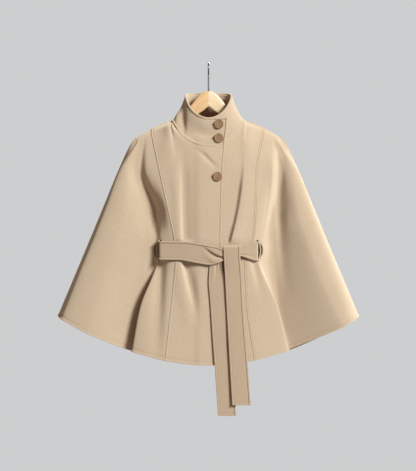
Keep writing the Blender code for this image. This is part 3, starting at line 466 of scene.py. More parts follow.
def side_controls(side, rows):
    """Guide points of a side front: a row for each level from top seam to hem, columns going out."""
    seam = np.array([SEAM_TOP[side]] * 2 + [r.seam_out for r in rows])
    heights = np.array([r.z for r in rows], float)
    share = (heights - shoulder_z(seam[0])) / (hem_z(seam[-1]) - shoulder_z(seam[0]))
    share[-1] = 1.0
    arm_z = OVERARM_Z[0] + (OVERARM_Z[-1] - OVERARM_Z[0]) * share
    arm_out = np.interp(-arm_z, -np.array(OVERARM_Z), OVERARM_OUT)
    top_out = seam[0] + (OVERARM_OUT[0] - seam[0]) * np.array(TOP_SHARES)
    top_z = shoulder_z(top_out)
    turn_out = top_out + SHOULDER_SPREAD * (np.array(TOP_SHARES) == 1.0)
    turn_y = np.append(np.full(len(top_out) - 1, -SHOULDER_ROUND), -SEAM_HALF_GAP)
    turn_y[-2] *= NEAR_DEPTH
    levels = [np.stack((top_out, 0 * top_out - SEAM_HALF_GAP, top_z), 1)]
    levels.append(np.stack((turn_out, turn_y, top_z - SHOULDER_TURN), 1))
    for index, row in enumerate(rows):
        edge = arm_out[index]
        crest = row.dip_out + (edge - row.dip_out) * row.crest_share
        near = row.dip_out + (edge - row.dip_out) * NEAR_SHARE
        inner_depth = row.centre - (row.centre - row.seam) * INNER_SHARE ** 2
        inner = row.seam_out * INNER_SHARE
        out = np.array((inner, row.seam_out, row.side_out, row.lip_out, row.dip_out, crest, near, edge))
        depth = (inner_depth, row.seam, row.side, row.lip, row.dip, row.crest, row.crest * NEAR_DEPTH)
        wing = ease((out - row.lip_out) / (edge - row.lip_out))
        at_hem = index == len(rows) - 1
        z = hem_z(out) if at_hem else row.z + (arm_z[index] - row.z) * wing
        levels.append(np.stack((out, np.append(-np.array(depth), -SEAM_HALF_GAP), z), 1))
    controls = np.array(levels)
    beyond = controls[:, -2:-1] * (1, -1, 1)
    return np.concatenate((controls, beyond), 1) * (side, 1, 1)


def side_surface(side, u, v):
    """A side front at guide column u, 1 at the princess seam to 7 at the overarm seam, and level v, 0 at
    the top seam to 8 at the hem: a smooth curve across and then down the guide points, with the folds."""
    controls = side_controls(side, RIGHT_LEVELS if side < 0 else LEFT_LEVELS)
    levels = np.moveaxis(across(np.swapaxes(controls, 0, 1), u), -2, 0)
    grid = down(levels, v)
    body = np.clip(SLIT_COLUMNS[1] - u, 0.0, 1.0)
    forward = (fold_height(grid, BODY_FOLDS) + neck_fill(grid, v)) * body
    grid[..., 1] -= forward + fold_height(grid, WING_FOLDS, belted=False)
    return grid


def tapered(u, v):
    """Guide columns drawn in beside a slit, by the cube of the distance from its middle, so that its outer
    edge bows out and comes in to a point at its ends."""
    middle = sum(SLIT_CUT) / 2
    share = np.abs(v - middle) / (SLIT_CUT[1] - middle)
    drawn = SLIT_TAPER * np.clip(share, 0.0, 1.0) ** 3 * (1 - ease(share - 1))
    inner, outer = SLIT_COLUMNS
    within = inner + (u - inner) * (outer - inner - drawn) / (outer - inner)
    beyond = outer - drawn + (u - outer) * (1 + drawn)
    return np.select((u < inner, u < outer, u < outer + 1), (u, within, beyond), u)


def neck_run(x):
    """Distance along the round neck as a share of its half width, and straight on past the neck point."""
    angle = np.arcsin(np.clip(x / NECK_HALF, -1.0, 1.0))
    return np.where(np.abs(x) < NECK_HALF, NECK_HALF * angle * 2 / math.pi, x)


def neck_x(run):
    """X of a distance along the round neck."""
    return np.where(np.abs(run) < NECK_HALF, NECK_HALF * np.sin(run / NECK_HALF * math.pi / 2), run)


def centre_surface(u, v, lapped):
    """The centre fronts at guide line u, 0 at the right princess seam to 5 at the left one, and level v.
    Across each level the cloth is a parabola between the seams; the lapped half stands off the other."""
    right_out = [SEAM_TOP[-1]] * 2 + [r.seam_out for r in RIGHT_LEVELS]
    left_out = [SEAM_TOP[1]] * 2 + [r.seam_out for r in LEFT_LEVELS]
    under = [LAP_UNDER] * len(LAP_EDGE)
    lines = np.array((-np.array(right_out), GATHER_RIGHT, under, LAP_EDGE, GATHER_LEFT, left_out), float)
    lines[:, :2] = neck_run(lines[:, :2])
    low = np.clip(np.floor(u).astype(int), 0, len(lines) - 2)
    x = lines[low] + (lines[low + 1] - lines[low]) * (u - low)[..., None]
    x[..., :2] = neck_x(x[..., :2])
    points = np.zeros(x.shape + (3,))
    points[..., 0] = x
    seam, turn = neck_line(x[..., 0], True, lapped)
    points[..., 0, 1], points[..., 0, 2] = seam
    points[..., 1, 1], points[..., 1, 2] = turn
    centre = np.array([r.centre for r in RIGHT_LEVELS], float)
    at = x[..., 2:]
    out = np.where(at < 0, right_out[2:], left_out[2:])
    depth = np.where(at < 0, [r.seam for r in RIGHT_LEVELS], [r.seam for r in LEFT_LEVELS])
    points[..., 2:, 1] = -(centre - (centre - depth) * (at / out) ** 2)
    points[..., 2:, 2] = [r.z for r in RIGHT_LEVELS]
    points[..., -1, 2] = hem_z(x[..., -1])
    grid = down(np.moveaxis(points, -2, 0), v)
    grid[..., 1] -= fold_height(grid, BODY_FOLDS) + neck_fill(grid, v)
    if lapped:
        grid[..., 1] -= LAP_LIFT * ease((grid[..., 0] - LAP_START) / (LAP_FULL - LAP_START))
    return grid


def topstitched(distance):
    """Height of the cloth beside a sewn edge: a low welt as far as the stitching, a dip along the thread."""
    welt = WELT * (1 - ease((distance - STITCH_AT + WELT_FALL / 2) / WELT_FALL))
    return welt - STITCH_DIP * np.exp(-((distance - STITCH_AT) / STITCH_HALF) ** 2)


def hemmed(distance):
    """Height of the cloth above a hem with two rows of stitching."""
    second = STITCH_DIP * np.exp(-((distance - SECOND_STITCH_AT) / STITCH_HALF) ** 2)
    return topstitched(distance) - second


def from_edge(start, stop, width, count, steps):
    """Parameters from an edge to the next guide line: first at fixed distances, then in even steps."""
    near = start + (stop - start) * np.array(steps) / width
    rest = near[..., -1:] + (stop - near[..., -1:]) * np.linspace(0, 1, count + 1)[1:]
    return np.concatenate((near, rest), -1)


def panel_grid(surface, stops, counts, near_first, near_last):
    """Points of a panel, with columns and rows placed close along its sewn edges.  Returns the points, the
    parameters u and v, and the distances of columns from either side and of rows from top and hem."""
    hem = np.array(HEM_STEPS)[::-1]
    top = np.array(EDGE_STEPS)
    middles = [np.linspace(k, k + 1, n, endpoint=False) for k, n in enumerate(ROW_COUNTS, 1)]
    rows = np.concatenate((top / TOP_RUN, *middles, LAST_LEVEL - hem / HEM_RUN))[:, None]
    count = len(rows)
    ones = np.ones((count, 1))
    runs = []
    for index, (a, b, n) in enumerate(zip(stops, stops[1:], counts)):
        width = np.linalg.norm(surface(ones * a, rows) - surface(ones * b, rows), axis=-1)
        if index == 0 and near_first:
            runs.append(from_edge(a, b, width, n, EDGE_STEPS)[:, :-1])
        elif index == len(counts) - 1 and near_last:
            runs.append(from_edge(b, a, width, n, EDGE_STEPS)[:, ::-1])
        else:
            runs.append(ones * np.linspace(a, b, n + 1)[:-1])
    if not near_last:
        runs.append(ones * stops[-1])
    u = np.concatenate(runs, 1)
    first = np.full(u.shape[1], FAR)
    last = np.full(u.shape[1], FAR)
    if near_first:
        first[:len(EDGE_STEPS)] = EDGE_STEPS
    if near_last:
        last[-len(EDGE_STEPS):] = EDGE_STEPS[::-1]
    high = 0 * u[:1]
    low = high + LAST_LEVEL - 1
    head = np.linalg.norm(surface(u[:1], high + 1) - surface(u[:1], high), axis=-1)
    foot = np.linalg.norm(surface(u[-1:], low + 1) - surface(u[-1:], low), axis=-1)
    hems = len(HEM_STEPS)
    v = rows + 0 * u
    v[:len(top)] = np.minimum(top[:, None] / head, TOP_LIMIT)
    v[-hems:] = LAST_LEVEL - hem[:, None] / foot
    evenly = np.linspace(0, 1, ROW_COUNTS[-1], endpoint=False)[:, None]
    v[-hems - ROW_COUNTS[-1]:-hems] = low + (v[-hems] - low) * evenly
    from_top = np.full(count, FAR)
    from_top[:len(top)] = top
    from_hem = np.full(count, FAR)
    from_hem[-hems:] = hem
    return surface(u, v), u, v, (first, last, from_top, from_hem)


def facing_of(grid, toward):
    """Directions square to a grid of points, on the side of the direction given."""
    facing = unit(np.cross(np.gradient(grid, axis=1), np.gradient(grid, axis=0)))
    middle = facing[grid.shape[0] // 2, grid.shape[1] // 2]
    return facing if middle @ np.asarray(toward, float) > 0 else -facing


def shell(name, outer, facing, thick, finish, hole=None, rim_out=RIM_OUT):
    """A closed wall: the outer grid, the same points moved in along facing by thick, and round every free
    edge half an oval of that thickness, which stands out by a share of half of it."""
    rows, columns = outer.shape[:2]
    index = np.arange(rows * columns).reshape(rows, columns)
    kept = np.ones((rows - 1, columns - 1), bool)
    if hole is not None:
        kept &= ~hole
    quads = np.stack((index[:-1, :-1], index[:-1, 1:], index[1:, 1:], index[1:, :-1]), -1)[kept]
    points = outer.reshape(-1, 3)
    square = facing.reshape(-1, 3)
    a, b, c, d = points[quads.T]
    if (np.cross(c - a, d - b) * square[quads[:, 0]]).sum() < 0:
        quads = quads[:, ::-1]
    used, quads = np.unique(quads, return_inverse=True)
    quads = quads.reshape(-1, 4)
    points = points[used]
    square = square[used]
    count = len(used)
    start = quads.ravel()
    stop = np.roll(quads, -1, 1).ravel()
    free = ~np.isin(start * count + stop, stop * count + start)
    start = start[free]
    stop = stop[free]
    away = unit(np.cross(points[stop] - points[start], square[start] + square[stop]))
    out = np.zeros_like(points)
    np.add.at(out, start, away)
    np.add.at(out, stop, away)
    border = np.unique(start)
    out = unit(out[border])
    swing = np.linspace(0, math.pi, RIM_TURNS + 2)[1:-1, None, None]
    middle = points[border] - square[border] * thick / 2
    rim = middle + (square[border] * np.cos(swing) + out * np.sin(swing) * rim_out) * thick / 2
    place = np.zeros(count, int)
    place[border] = np.arange(len(border))
    chain = [np.arange(count)]
    chain += [2 * count + k * len(border) + place for k in range(RIM_TURNS)]
    chain.append(np.arange(count) + count)
    bands = [np.stack((a[stop], a[start], b[start], b[stop]), 1) for a, b in zip(chain, chain[1:])]
    faces = np.concatenate([quads, quads[:, ::-1] + count, *bands])
    points = np.concatenate((points, points - square * thick, rim.reshape(-1, 3)))
    return piece(name, points, faces.tolist(), finish)


def read_off(at, run, points):
    """Points of a line read off at distances along it."""
    return np.stack([np.interp(at, run, points[:, k]) for k in range(3)], 1)


def sew(name, lines, finish):
    """Rows of stitches: along each line of points, a small rounded grain of thread every pitch."""
    tips = np.array((-1.0, 1.0))
    corner = np.array(((0.0, 1.0), (1.0, 0.0), (0.0, -1.0), (-1.0, 0.0)))
    made = []
    for points, facing in lines:
        run = run_along(points)
        at = np.arange(STITCH_PITCH / 2, run[-1], STITCH_PITCH)
        centre = read_off(at, run, points)
        upward = unit(read_off(at, run, facing))
        along = unit(read_off(at + 1, run, points) - centre + 1e-9)
        aside = np.cross(upward, along)
        ends = centre[:, None] + along[:, None] * tips[:, None] * STITCH_LONG / 2
        cross = aside[:, None] * corner[:, :1] * STITCH_WIDE / 2
        cross = cross + upward[:, None] * corner[:, 1:] * STITCH_HIGH
        body = [centre[:, None] + cross + along[:, None] * STITCH_LONG * STITCH_BODY * k for k in (-1, 1)]
        made.append(np.concatenate((ends[:, :1], *body, ends[:, 1:]), 1))
    grains = np.concatenate(made)
    k = np.arange(4)
    n = np.roll(k, -1)
    sides = np.stack((1 + k, 5 + k, 5 + n, 1 + n), 1)
    tip = np.concatenate((np.stack((0 * k, 1 + k, 1 + n), 1), np.stack((0 * k + 9, 5 + n, 5 + k), 1)))
    start = np.arange(len(grains))[:, None, None] * 10
    faces = (start + sides).reshape(-1, 4).tolist() + (start + tip).reshape(-1, 3).tolist()
    stitches = piece(name, grains, faces, finish)
    return stitches


def thread(name, tone):
    """Polyester sewing thread, twisted: a shade darker than the cloth and a little smoother."""
    finish, tree = new_finish(name)
    where = node(tree, "TexCoord").outputs["Object"]
    twist = node(tree, "TexNoise", {"Vector": where, "Scale": 1 / (THREAD_TWIST_MM * MM), "Detail": 1.0})
    rough = node(tree, "MapRange", {"Value": twist.outputs["Fac"], "To Min": 0.6, "To Max": 0.85})
    shader = node(tree, "BsdfPrincipled", {"Base Color": linear(tone), "Roughness": rough.outputs[0]})
    node(tree, "OutputMaterial", {"Surface": shader.outputs[0]})
    return finish


coat_wool = wool("brushed_wool_coating", "bfa58a", "ae9375")
coat_thread = thread("tone_on_tone_thread", "a58463")
stitch_column = EDGE_STEPS.index(STITCH_AT)
hem_rows = [-1 - HEM_STEPS.index(STITCH_AT), -1 - HEM_STEPS.index(SECOND_STITCH_AT)]


def panel(name, surface, stops, counts, near, welts, slit=False, toward=(0, -1, 0)):
    """One panel of the coat: its grid, the relief of its sewn edges and its wall.  Returns its outer points,
    their facing and parameters, and its lines of stitching."""
    grid, u, v, (first, last, from_top, from_hem) = panel_grid(surface, stops, counts, *near)
    hole = None
    if slit:
        grid = surface(tapered(u, v), v)
        rows = (v[:-1, :-1] > SLIT_CUT[0]) & (v[1:, :-1] < SLIT_CUT[1])
        inner, outer = SLIT_COLUMNS
        hole = rows & (u[:-1, :-1] > inner - ROUNDING) & (u[:-1, :-1] < outer - ROUNDING)
    facing = facing_of(grid, toward)
    at_neck = np.sqrt(round_share(grid[..., 0], NECK_HALF))
    relief = topstitched(from_top)[:, None] * at_neck + hemmed(from_hem)[:, None]
    relief = relief + topstitched(first) * welts[0] + topstitched(last) * welts[1]
    outer = grid + facing * relief[..., None]
    made = shell(name, outer, facing, CLOTH, coat_wool, hole)
    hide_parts(name.replace("panel_", ""))
    lines = [(outer[r], facing[r]) for r in hem_rows]
    for column, sewn in zip((stitch_column, -1 - stitch_column), welts):
        if sewn:
            lines.append((outer[:, column], facing[:, column]))
    neck = np.abs(grid[stitch_column, :, 0]) < NECK_HALF
    if neck.any():
        lines.append((outer[stitch_column][neck], facing[stitch_column][neck]))
    return (outer, facing, u, v), lines


fronts = {}
front_lines = []
for name, side in (("panel_side_front_right", -1), ("panel_side_front_left", 1)):
    fronts[name], lines = panel(
        name, lambda u, v: side_surface(side, u, v), SIDE_STOPS, SIDE_COUNTS,
        (True, True), (0, 1), slit=True)
    front_lines += lines
fronts["panel_front_right"], lines = panel(
    "panel_front_right", lambda u, v: centre_surface(u, v, True), (0, 1, 2, 3), (12, 20, 14),
    (True, True), (1, 1))
front_lines += lines
fronts["panel_front_left"], lines = panel(
    "panel_front_left", lambda u, v: centre_surface(u, v, False), (2, 3, 4, 5), (12, 14, 14),
    (False, True), (0, 1))
front_lines += lines
sew("stitches_front", front_lines, coat_thread)

# Back: one wide panel of the same wool with both wing backs, sewn to the fronts along the shoulders and
# over the arms.  It hangs in soft flutes and its hem is a little lower than the front's.
BACK_HEM_DROP = 10.0
Section = namedtuple("Section", "centre side_out side wing")
BACK_SECTIONS = (
    Section(66, 120, 60, 46),
    Section(84, 125, 76, 66),
    Section(94, 130, 86, 76),
    Section(97, 132, 89, 78),
    Section(100, 134, 92, 80),
    Section(114, 150, 106, 86),
    Section(128, 165, 118, 92),
)
BACK_WING_SHARE = 0.5
BACK_TOP_WING = 0.86
BACK_TOP_NEAR = 0.97
Flute = namedtuple("Flute", "foot_x height half_width")
FLUTES = (
    Flute(-265, 14, 38),
    Flute(-165, -16, 34),
    Flute(-70, 17, 36),
    Flute(40, -14, 34),
    Flute(140, 17, 38),
    Flute(245, -14, 36),
)
FLUTE_HEAD_Z = -290.0
FLUTE_HEAD_SHARE = 0.6
BACK_FILL_SHARE = 0.65
BACK_STOPS = tuple(range(1, 10))
BACK_COUNTS = (12, 18, 18, 18, 18, 18, 18, 12)


def back_half(side, edge, index):
    """Guide points of half the back at one level: past the edge, the edge, near it, the wing, the body."""
    if index < 2:
        out = np.array((NECK_HALF, abs(edge[0]) * BACK_TOP_WING, abs(edge[0]) * BACK_TOP_NEAR)) * side
        y, z = neck_line(out, False, False)[index]
        y = y + SEAM_HALF_GAP * index
        y[2] = SEAM_HALF_GAP + index * SHOULDER_ROUND * NEAR_DEPTH
    else:
        row = BACK_SECTIONS[index - 2]
        reach = np.array((0.0, BACK_WING_SHARE, NEAR_SHARE))
        out = (row.side_out + (abs(edge[0]) - row.side_out) * reach) * side
        y = np.array((row.side, row.wing, row.wing * NEAR_DEPTH))
        level = RIGHT_LEVELS[index - 2].z
        z = level + (edge[2] - level) * ease(reach)
        if index - 1 == len(BACK_SECTIONS):
            z = hem_z(out) - BACK_HEM_DROP * (1 - reach ** 4)
    body, wing, near = np.stack((out, y, z), 1)
    edge = edge * (1, -1, 1)
    return np.array((near * (1, -1, 1), edge, near, wing, body))


def back_surface(u, v):
    """The back at guide column u, 1 at the left overarm seam to 9 at the right one, and level v."""
    left = side_controls(1, LEFT_LEVELS)[:, -2]
    right = side_controls(-1, RIGHT_LEVELS)[:, -2]
    depths = [NECK_BACK_DEPTH, NECK_BACK_DEPTH + NECK_TURN] + [s.centre for s in BACK_SECTIONS]
    top = NECK_SIDE_Z + NECK_BACK_RISE
    heights = [top, top - SHOULDER_TURN] + [r.z for r in RIGHT_LEVELS[:-1]]
    heights.append(HEM_CENTRE_Z - BACK_HEM_DROP)
    levels = []
    for index, (depth, height) in enumerate(zip(depths, heights)):
        halves = (back_half(1, left[index], index), back_half(-1, right[index], index)[::-1])
        levels.append(np.concatenate((halves[0], np.array(((0.0, depth, height),)), halves[1])))
    stack = np.moveaxis(across(np.swapaxes(np.array(levels), 0, 1), u), -2, 0)
    at_neck = np.abs(stack[0, ..., 0]) < NECK_HALF
    x = neck_x(stack[0, ..., 0])
    for index, (y, z) in enumerate(neck_line(x, False, False)):
        stack[index][at_neck] = np.stack((x, y, z), -1)[at_neck]
    grid = down(stack, v)
    grid[..., 1] += BACK_FILL_SHARE * neck_fill(grid, v)
    grown = ease((FLUTE_HEAD_Z - grid[..., 2]) / (FLUTE_HEAD_Z - HEM_CENTRE_Z))
    for flute in FLUTES:
        middle = flute.foot_x * (FLUTE_HEAD_SHARE + (1 - FLUTE_HEAD_SHARE) * grown)
        share = (grid[..., 0] - middle) / flute.half_width
        grid[..., 1] += flute.height * grown * np.exp(-(share ** 2))
    return grid


_, back_lines = panel(
    "panel_back", back_surface, BACK_STOPS, BACK_COUNTS,
    (True, True), (0, 0), toward=(0, 1, 0))
sew("stitches_back", back_lines, coat_thread)

# Collar: a standing funnel of two layers of the wool, sewn into the neck and leaning in to its rim.  Its
# right end laps over the left; it has sagged a little, with a dent over the lap and a crease at the side.
COLLAR_CLOTH = 5.0
COLLAR_LENGTH = 470.0
COLLAR_SEAM_GAP = 0.4
COLLAR_HALF = 64.5
COLLAR_SIDE_Z = -82.0
COLLAR_FRONT_DROP = 72.0
COLLAR_CURVE = 0.6
COLLAR_BACK_RISE = 3.0
COLLAR_CORNER = 4.5
COLLAR_CORNER_SHARE = 0.05
COLLAR_FRONT_DEPTH = 60.0
COLLAR_BACK_DEPTH = 44.0
COLLAR_LEAN = 0.62
COLLAR_UNDER_END = -0.18
COLLAR_OVER_END_LOW = 0.48
COLLAR_OVER_END_TOP = 0.94
COLLAR_LIFT = COLLAR_CLOTH + 3.0
COLLAR_LIFT_FROM = math.radians(306)
COLLAR_LIFT_RUN = math.radians(44)
COLLAR_LIFT_UP = 0.3
COLLAR_SIDE = 0.25
COLLAR_FINE = 400
COLLAR_STEPS = (1.2, 2.4, 4.0, 5.2, 5.6, 6.0, 6.4, 6.8, 8.0, 10.0)
COLLAR_STITCH = 6.0
COLLAR_ROLL = 1.7
COLLAR_ROLL_FALL = 1.6
COLLAR_ROLL_INSIDE = 1.0
COLLAR_DIP = 0.8
COLLAR_COLUMNS = 150
COLLAR_ROWS = 22
Dent = namedtuple("Dent", "x z height half_x half_z")
COLLAR_DENTS = (
    Dent(-22, -197, -12.0, 36, 19),
    Dent(-72, -160, -6.8, 7.5, 44),
    Dent(-88, -158, 3.0, 9, 40),
    Dent(-48, -146, 2.0, 14, 26),
)


def collar_surface(along, up):
    """The collar at a share of its length, from its under end to its over end, and a share of its height.
    Two ovals, the neck seam and the rim, joined by a wall that leans in quickly and then stands."""
    end = 2 * math.pi + COLLAR_OVER_END_LOW + (COLLAR_OVER_END_TOP - COLLAR_OVER_END_LOW) * up
    around = COLLAR_UNDER_END + (end - COLLAR_UNDER_END) * along
    lap = around > 2 * math.pi
    turns = np.sin(around)
    ahead = np.where(lap, 1.0, np.cos(around))
    front = ahead > 0
    low_x = NECK_HALF * turns
    low_y = -np.where(front, NECK_FRONT_DEPTH, NECK_BACK_DEPTH) * ahead
    share = np.where(lap, 1.0, round_share(low_x, NECK_HALF))
    sag = LAP_SAG * ease(low_x / LAP_EDGE[0]) * lap
    drop = -NECK_FRONT_DROP * share ** NECK_CURVE - sag
    low_z = NECK_SIDE_Z + np.where(front, drop, NECK_BACK_RISE * share) + COLLAR_SEAM_GAP
    top_x = COLLAR_HALF * turns
    top_y = -np.where(front, COLLAR_FRONT_DEPTH, COLLAR_BACK_DEPTH) * ahead
    share = np.where(lap, 1.0, round_share(top_x, COLLAR_HALF))
    drop = -COLLAR_FRONT_DROP * share ** COLLAR_CURVE
    corner = COLLAR_CORNER * np.exp((np.abs(turns) - 1) / COLLAR_CORNER_SHARE) * ~lap
    top_z = COLLAR_SIDE_Z + np.where(front, drop, COLLAR_BACK_RISE * share) - corner
    lean = np.clip(up, 0.0, 1.0) ** COLLAR_LEAN
    x = low_x + (top_x - low_x) * lean
    lapping = ease((low_x - LAP_START) / (LAP_FULL - LAP_START)) * (along > 0.5)
    at_seam = (LAP_LIFT + SEAM_HALF_GAP) * lapping
    stands = COLLAR_LIFT * ease((around - COLLAR_LIFT_FROM) / COLLAR_LIFT_RUN)
    y = low_y + (top_y - low_y) * lean - at_seam - (stands - at_seam) * ease(up / COLLAR_LIFT_UP)
    z = low_z + (top_z - low_z) * up
    return np.stack((x, y, z), -1)


def between_edges(width, count, steps):
    """Shares of a width from one edge to the other: fixed distances at both edges, even steps between."""
    near = np.array(steps) / np.asarray(width, float)[..., None]
    even = near[..., -1:] + (1 - 2 * near[..., -1:]) * np.linspace(0, 1, count + 1)[1:-1]
    return np.concatenate((near, even, 1 - near[..., ::-1]), -1)


def row_distance(count, steps):
    """Distance of each row or column from the nearer edge, as between_edges places them."""
    return np.concatenate((steps, np.full(count - 1, FAR), steps[::-1]))


def collar_relief(distance):
    """Height beside an edge of the collar: a full roll as far as the stitching, a dip along the thread."""
    roll = COLLAR_ROLL * (1 - ease((distance - COLLAR_STITCH + COLLAR_ROLL_INSIDE) / COLLAR_ROLL_FALL))
    return roll - COLLAR_DIP * np.exp(-((distance - COLLAR_STITCH) / STITCH_HALF) ** 2)


along = between_edges(COLLAR_LENGTH, COLLAR_COLUMNS, COLLAR_STEPS)[:, None]
wall = collar_surface(along, 1 + 0 * along) - collar_surface(along, 0 * along)
high = np.linalg.norm(wall, axis=-1)[:, 0]
fine = np.linspace(0, 1, COLLAR_FINE) ** 2
run = run_along(collar_surface(COLLAR_SIDE + 0 * fine, fine))
up = np.interp(between_edges(high, COLLAR_ROWS, COLLAR_STEPS), run / run[-1], fine)
grid = collar_surface(along + 0 * up, up)
facing = facing_of(grid, (0, 1, 0))
relief = collar_relief(row_distance(COLLAR_ROWS, COLLAR_STEPS))[None, :]
relief = relief + collar_relief(row_distance(COLLAR_COLUMNS, COLLAR_STEPS))[:, None]
outside = grid[..., 1] < 0
for dent in COLLAR_DENTS:
    away = ((grid[..., 0] - dent.x) / dent.half_x) ** 2 + ((grid[..., 2] - dent.z) / dent.half_z) ** 2
    relief = relief + dent.height * outside * np.exp(-away)
collar_outer = grid + facing * relief[..., None]
collar = shell("collar_funnel", collar_outer, facing, COLLAR_CLOTH, coat_wool)
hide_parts("collar")
collar_stitch = COLLAR_STEPS.index(COLLAR_STITCH)
collar_lines = [(collar_outer[:, k], facing[:, k]) for k in (collar_stitch, -1 - collar_stitch)]
collar_lines.append((collar_outer[-1 - collar_stitch], facing[-1 - collar_stitch]))
sew("stitches_collar", collar_lines, coat_thread)
over_end = (collar_outer[len(along) // 2:], facing[len(along) // 2:])

# Buttons: three turned discs of horn-coloured resin, each on a short shank, with a low rim and a dished
# face.  They close the lap through keyhole buttonholes worked in thread.
BUTTON_PLACES = ((29.0, -174.0), (29.0, -213.0), (25.0, -321.0))
Turned = namedtuple("Turned", "radius height")
BUTTON_PROFILE = (
    Turned(3.6, 0.0), Turned(3.6, 1.0), Turned(8.0, 1.2), Turned(11.4, 1.5), Turned(12.6, 2.1),
    Turned(13.0, 2.8), Turned(13.0, 3.4), Turned(12.8, 3.8), Turned(12.3, 4.0), Turned(11.6, 4.0),
    Turned(11.2, 3.9), Turned(10.8, 3.85), Turned(6.0, 3.85), Turned(2.0, 3.85), Turned(0.2, 3.85),
)
BUTTON_CLEAR = 0.9
BUTTON_SIDES = 64
HOLE_LEFT = -18.0
HOLE_RIGHT = 3.0
HOLE_HALF = 1.3
HOLE_EYE = 0.9
HOLE_EYE_RUN = 4.0
HOLE_SQUARE = 0.5
HOLE_ROUND = 0.6
HOLE_THREAD = 0.8
HOLE_POINTS = 72
THREAD_SIDES = 10
HORN_MM = 5.0
HORN_SLANT = 0.5
HORN_DRAW = 0.35


def horn():
    """Polished horn resin: brown with soft lighter streaks through it and a low, slightly worn gloss."""
    finish, tree = new_finish("horn_resin")
    where = node(tree, "TexCoord").outputs["Object"]
    drawn = node(tree, "Mapping", {
        "Vector": where, "Rotation": (0.0, HORN_SLANT, 0.0), "Scale": (1.0, 1.0, HORN_DRAW)})
    streak = node(tree, "TexNoise", {
        "Vector": drawn.outputs[0], "Scale": 1 / (HORN_MM * MM), "Detail": 4.0, "Distortion": 0.8})
    tone = node(tree, "ValToRGB", {"Fac": streak.outputs["Fac"]})
    tone.color_ramp.elements[0].position = 0.3
    tone.color_ramp.elements[0].color = linear("654324")
    tone.color_ramp.elements[1].position = 0.72
    tone.color_ramp.elements[1].color = linear("7e5933")
    worn = node(tree, "MapRange", {"Value": streak.outputs["Fac"], "To Min": 0.32, "To Max": 0.5})
    shader = node(tree, "BsdfPrincipled", {
        "Base Color": tone.outputs["Color"], "Roughness": worn.outputs[0], "IOR": 1.54})
    node(tree, "OutputMaterial", {"Surface": shader.outputs[0]})
    return finish


def seat_on(outer, facing, x, z):
    """The point of a surface at x and z, and the directions square to it there, aside and upward."""
    near = np.argmin(np.hypot(outer[..., 0] - x, outer[..., 2] - z) + FAR * (outer[..., 1] > 0))
    axis = unit(facing.reshape(-1, 3)[near])
    base = outer.reshape(-1, 3)[near]
    y = base[1] - (axis[0] * (x - base[0]) + axis[2] * (z - base[2])) / axis[1]
    aside = unit(np.cross(axis, (0.0, 0.0, 1.0)))
    return np.array((x, y, z)), axis, aside, np.cross(aside, axis)


def button_rings(foot, axis, aside, upward):
    """The turned profile carried round its axis."""
    turn = np.linspace(0, 2 * math.pi, BUTTON_SIDES, endpoint=False)[:, None]
    circle = np.cos(turn) * upward + np.sin(turn) * aside
    rows = np.array(BUTTON_PROFILE)
    return foot + axis * rows[:, 1, None, None] + circle * rows[:, :1, None]


def hole_rings(foot, axis, aside, upward):
    """A bead of thread carried round a long keyhole, wider at its eye, lying on the cloth."""
    turn = np.linspace(0, 2 * math.pi, HOLE_POINTS, endpoint=False)
    half = (HOLE_RIGHT - HOLE_LEFT) / 2
    run = (HOLE_RIGHT + HOLE_LEFT) / 2 + half * squared(np.cos(turn), HOLE_SQUARE)
    eye = HOLE_HALF + HOLE_EYE * np.exp(-(((run - HOLE_LEFT) / HOLE_EYE_RUN) ** 2))
    rise = eye * squared(np.sin(turn), HOLE_ROUND)
    path = foot - aside * run[:, None] + upward * rise[:, None]
    along = unit(np.roll(path, -1, 0) - np.roll(path, 1, 0))
    outward = np.cross(along, axis)
    around = np.linspace(0, 2 * math.pi, THREAD_SIDES, endpoint=False)[None, :, None]
    ring = np.cos(around) * outward[:, None] + np.sin(around) * axis
    return path[:, None] + ring * HOLE_THREAD


button_finish = horn()
hole_finish = thread("buttonhole_twist", "7a5636")
for index, (x, z) in enumerate(BUTTON_PLACES, 1):
    on_collar = z > collar_outer[-1, 0, 2]
    place = seat_on(*(over_end if on_collar else fronts["panel_front_right"][:2]), x, z)
    foot, axis, aside, upward = place
    rings = button_rings(foot + axis * BUTTON_CLEAR, axis, aside, upward)
    button = piece(f"horn_button_{index}", rings, ring_faces(*rings.shape[:2]), button_finish)
    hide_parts(f"button_{index}")
    rings = hole_rings(*place)
    count, around = rings.shape[:2]
    bands = ring_faces(count + 1, around)[:-2]
    bands = [[k % (count * around) for k in face] for face in bands]
    hole = piece(f"buttonhole_{index}", rings, bands, hole_finish)

# Belt: a strap of two layers of the wool, turned and topstitched along both edges.  It lies round the
# front, goes in through the slits and round the back inside, and is tied in a flat half knot.
BELT_CLOTH = 4.0
BELT_WIDTH = 51.0
BELT_CLEAR = 0.6
Strap = namedtuple("Strap", "along top foot")
BELT_RIGHT = (
    Strap(-141, -500.5, -551.5), Strap(-74, -501, -553), Strap(-25, -507, -562),
    Strap(6, -512, -566), Strap(24, -516, -562), Strap(38, -521, -554), Strap(47, -524, -550),
)
BELT_RIGHT_LIFT = 5.0
BELT_RIGHT_LIFT_FROM = -50.0
BELT_LEFT = (
    Strap(87, -526, -540), Strap(96, -522, -544), Strap(110, -513, -549.5), Strap(128, -504, -554),
    Strap(141, -500, -555),
)
BELT_LEFT_LIFT = 4.0
BELT_LEFT_LIFT_FROM = 128.0
BELT_BEND = 9.0
BELT_TURN_X = 131.6
BELT_HEADING = math.radians(28)
BELT_INWARD = 18.0
BELT_BACK_CURVE = 0.6
BELT_BACK_DEPTH = 80.0
BELT_BACK_GAP = 2.3
BELT_STEPS = 90
BEND_STEPS = 14
BELT_BACK_STEPS = 90
STRAP_STEPS = (1.0, 2.6, 4.0, 4.5, 5.0, 5.5, 6.0, 7.0)
STRAP_COLUMNS = 30
STRAP_RELIEF = 1.7
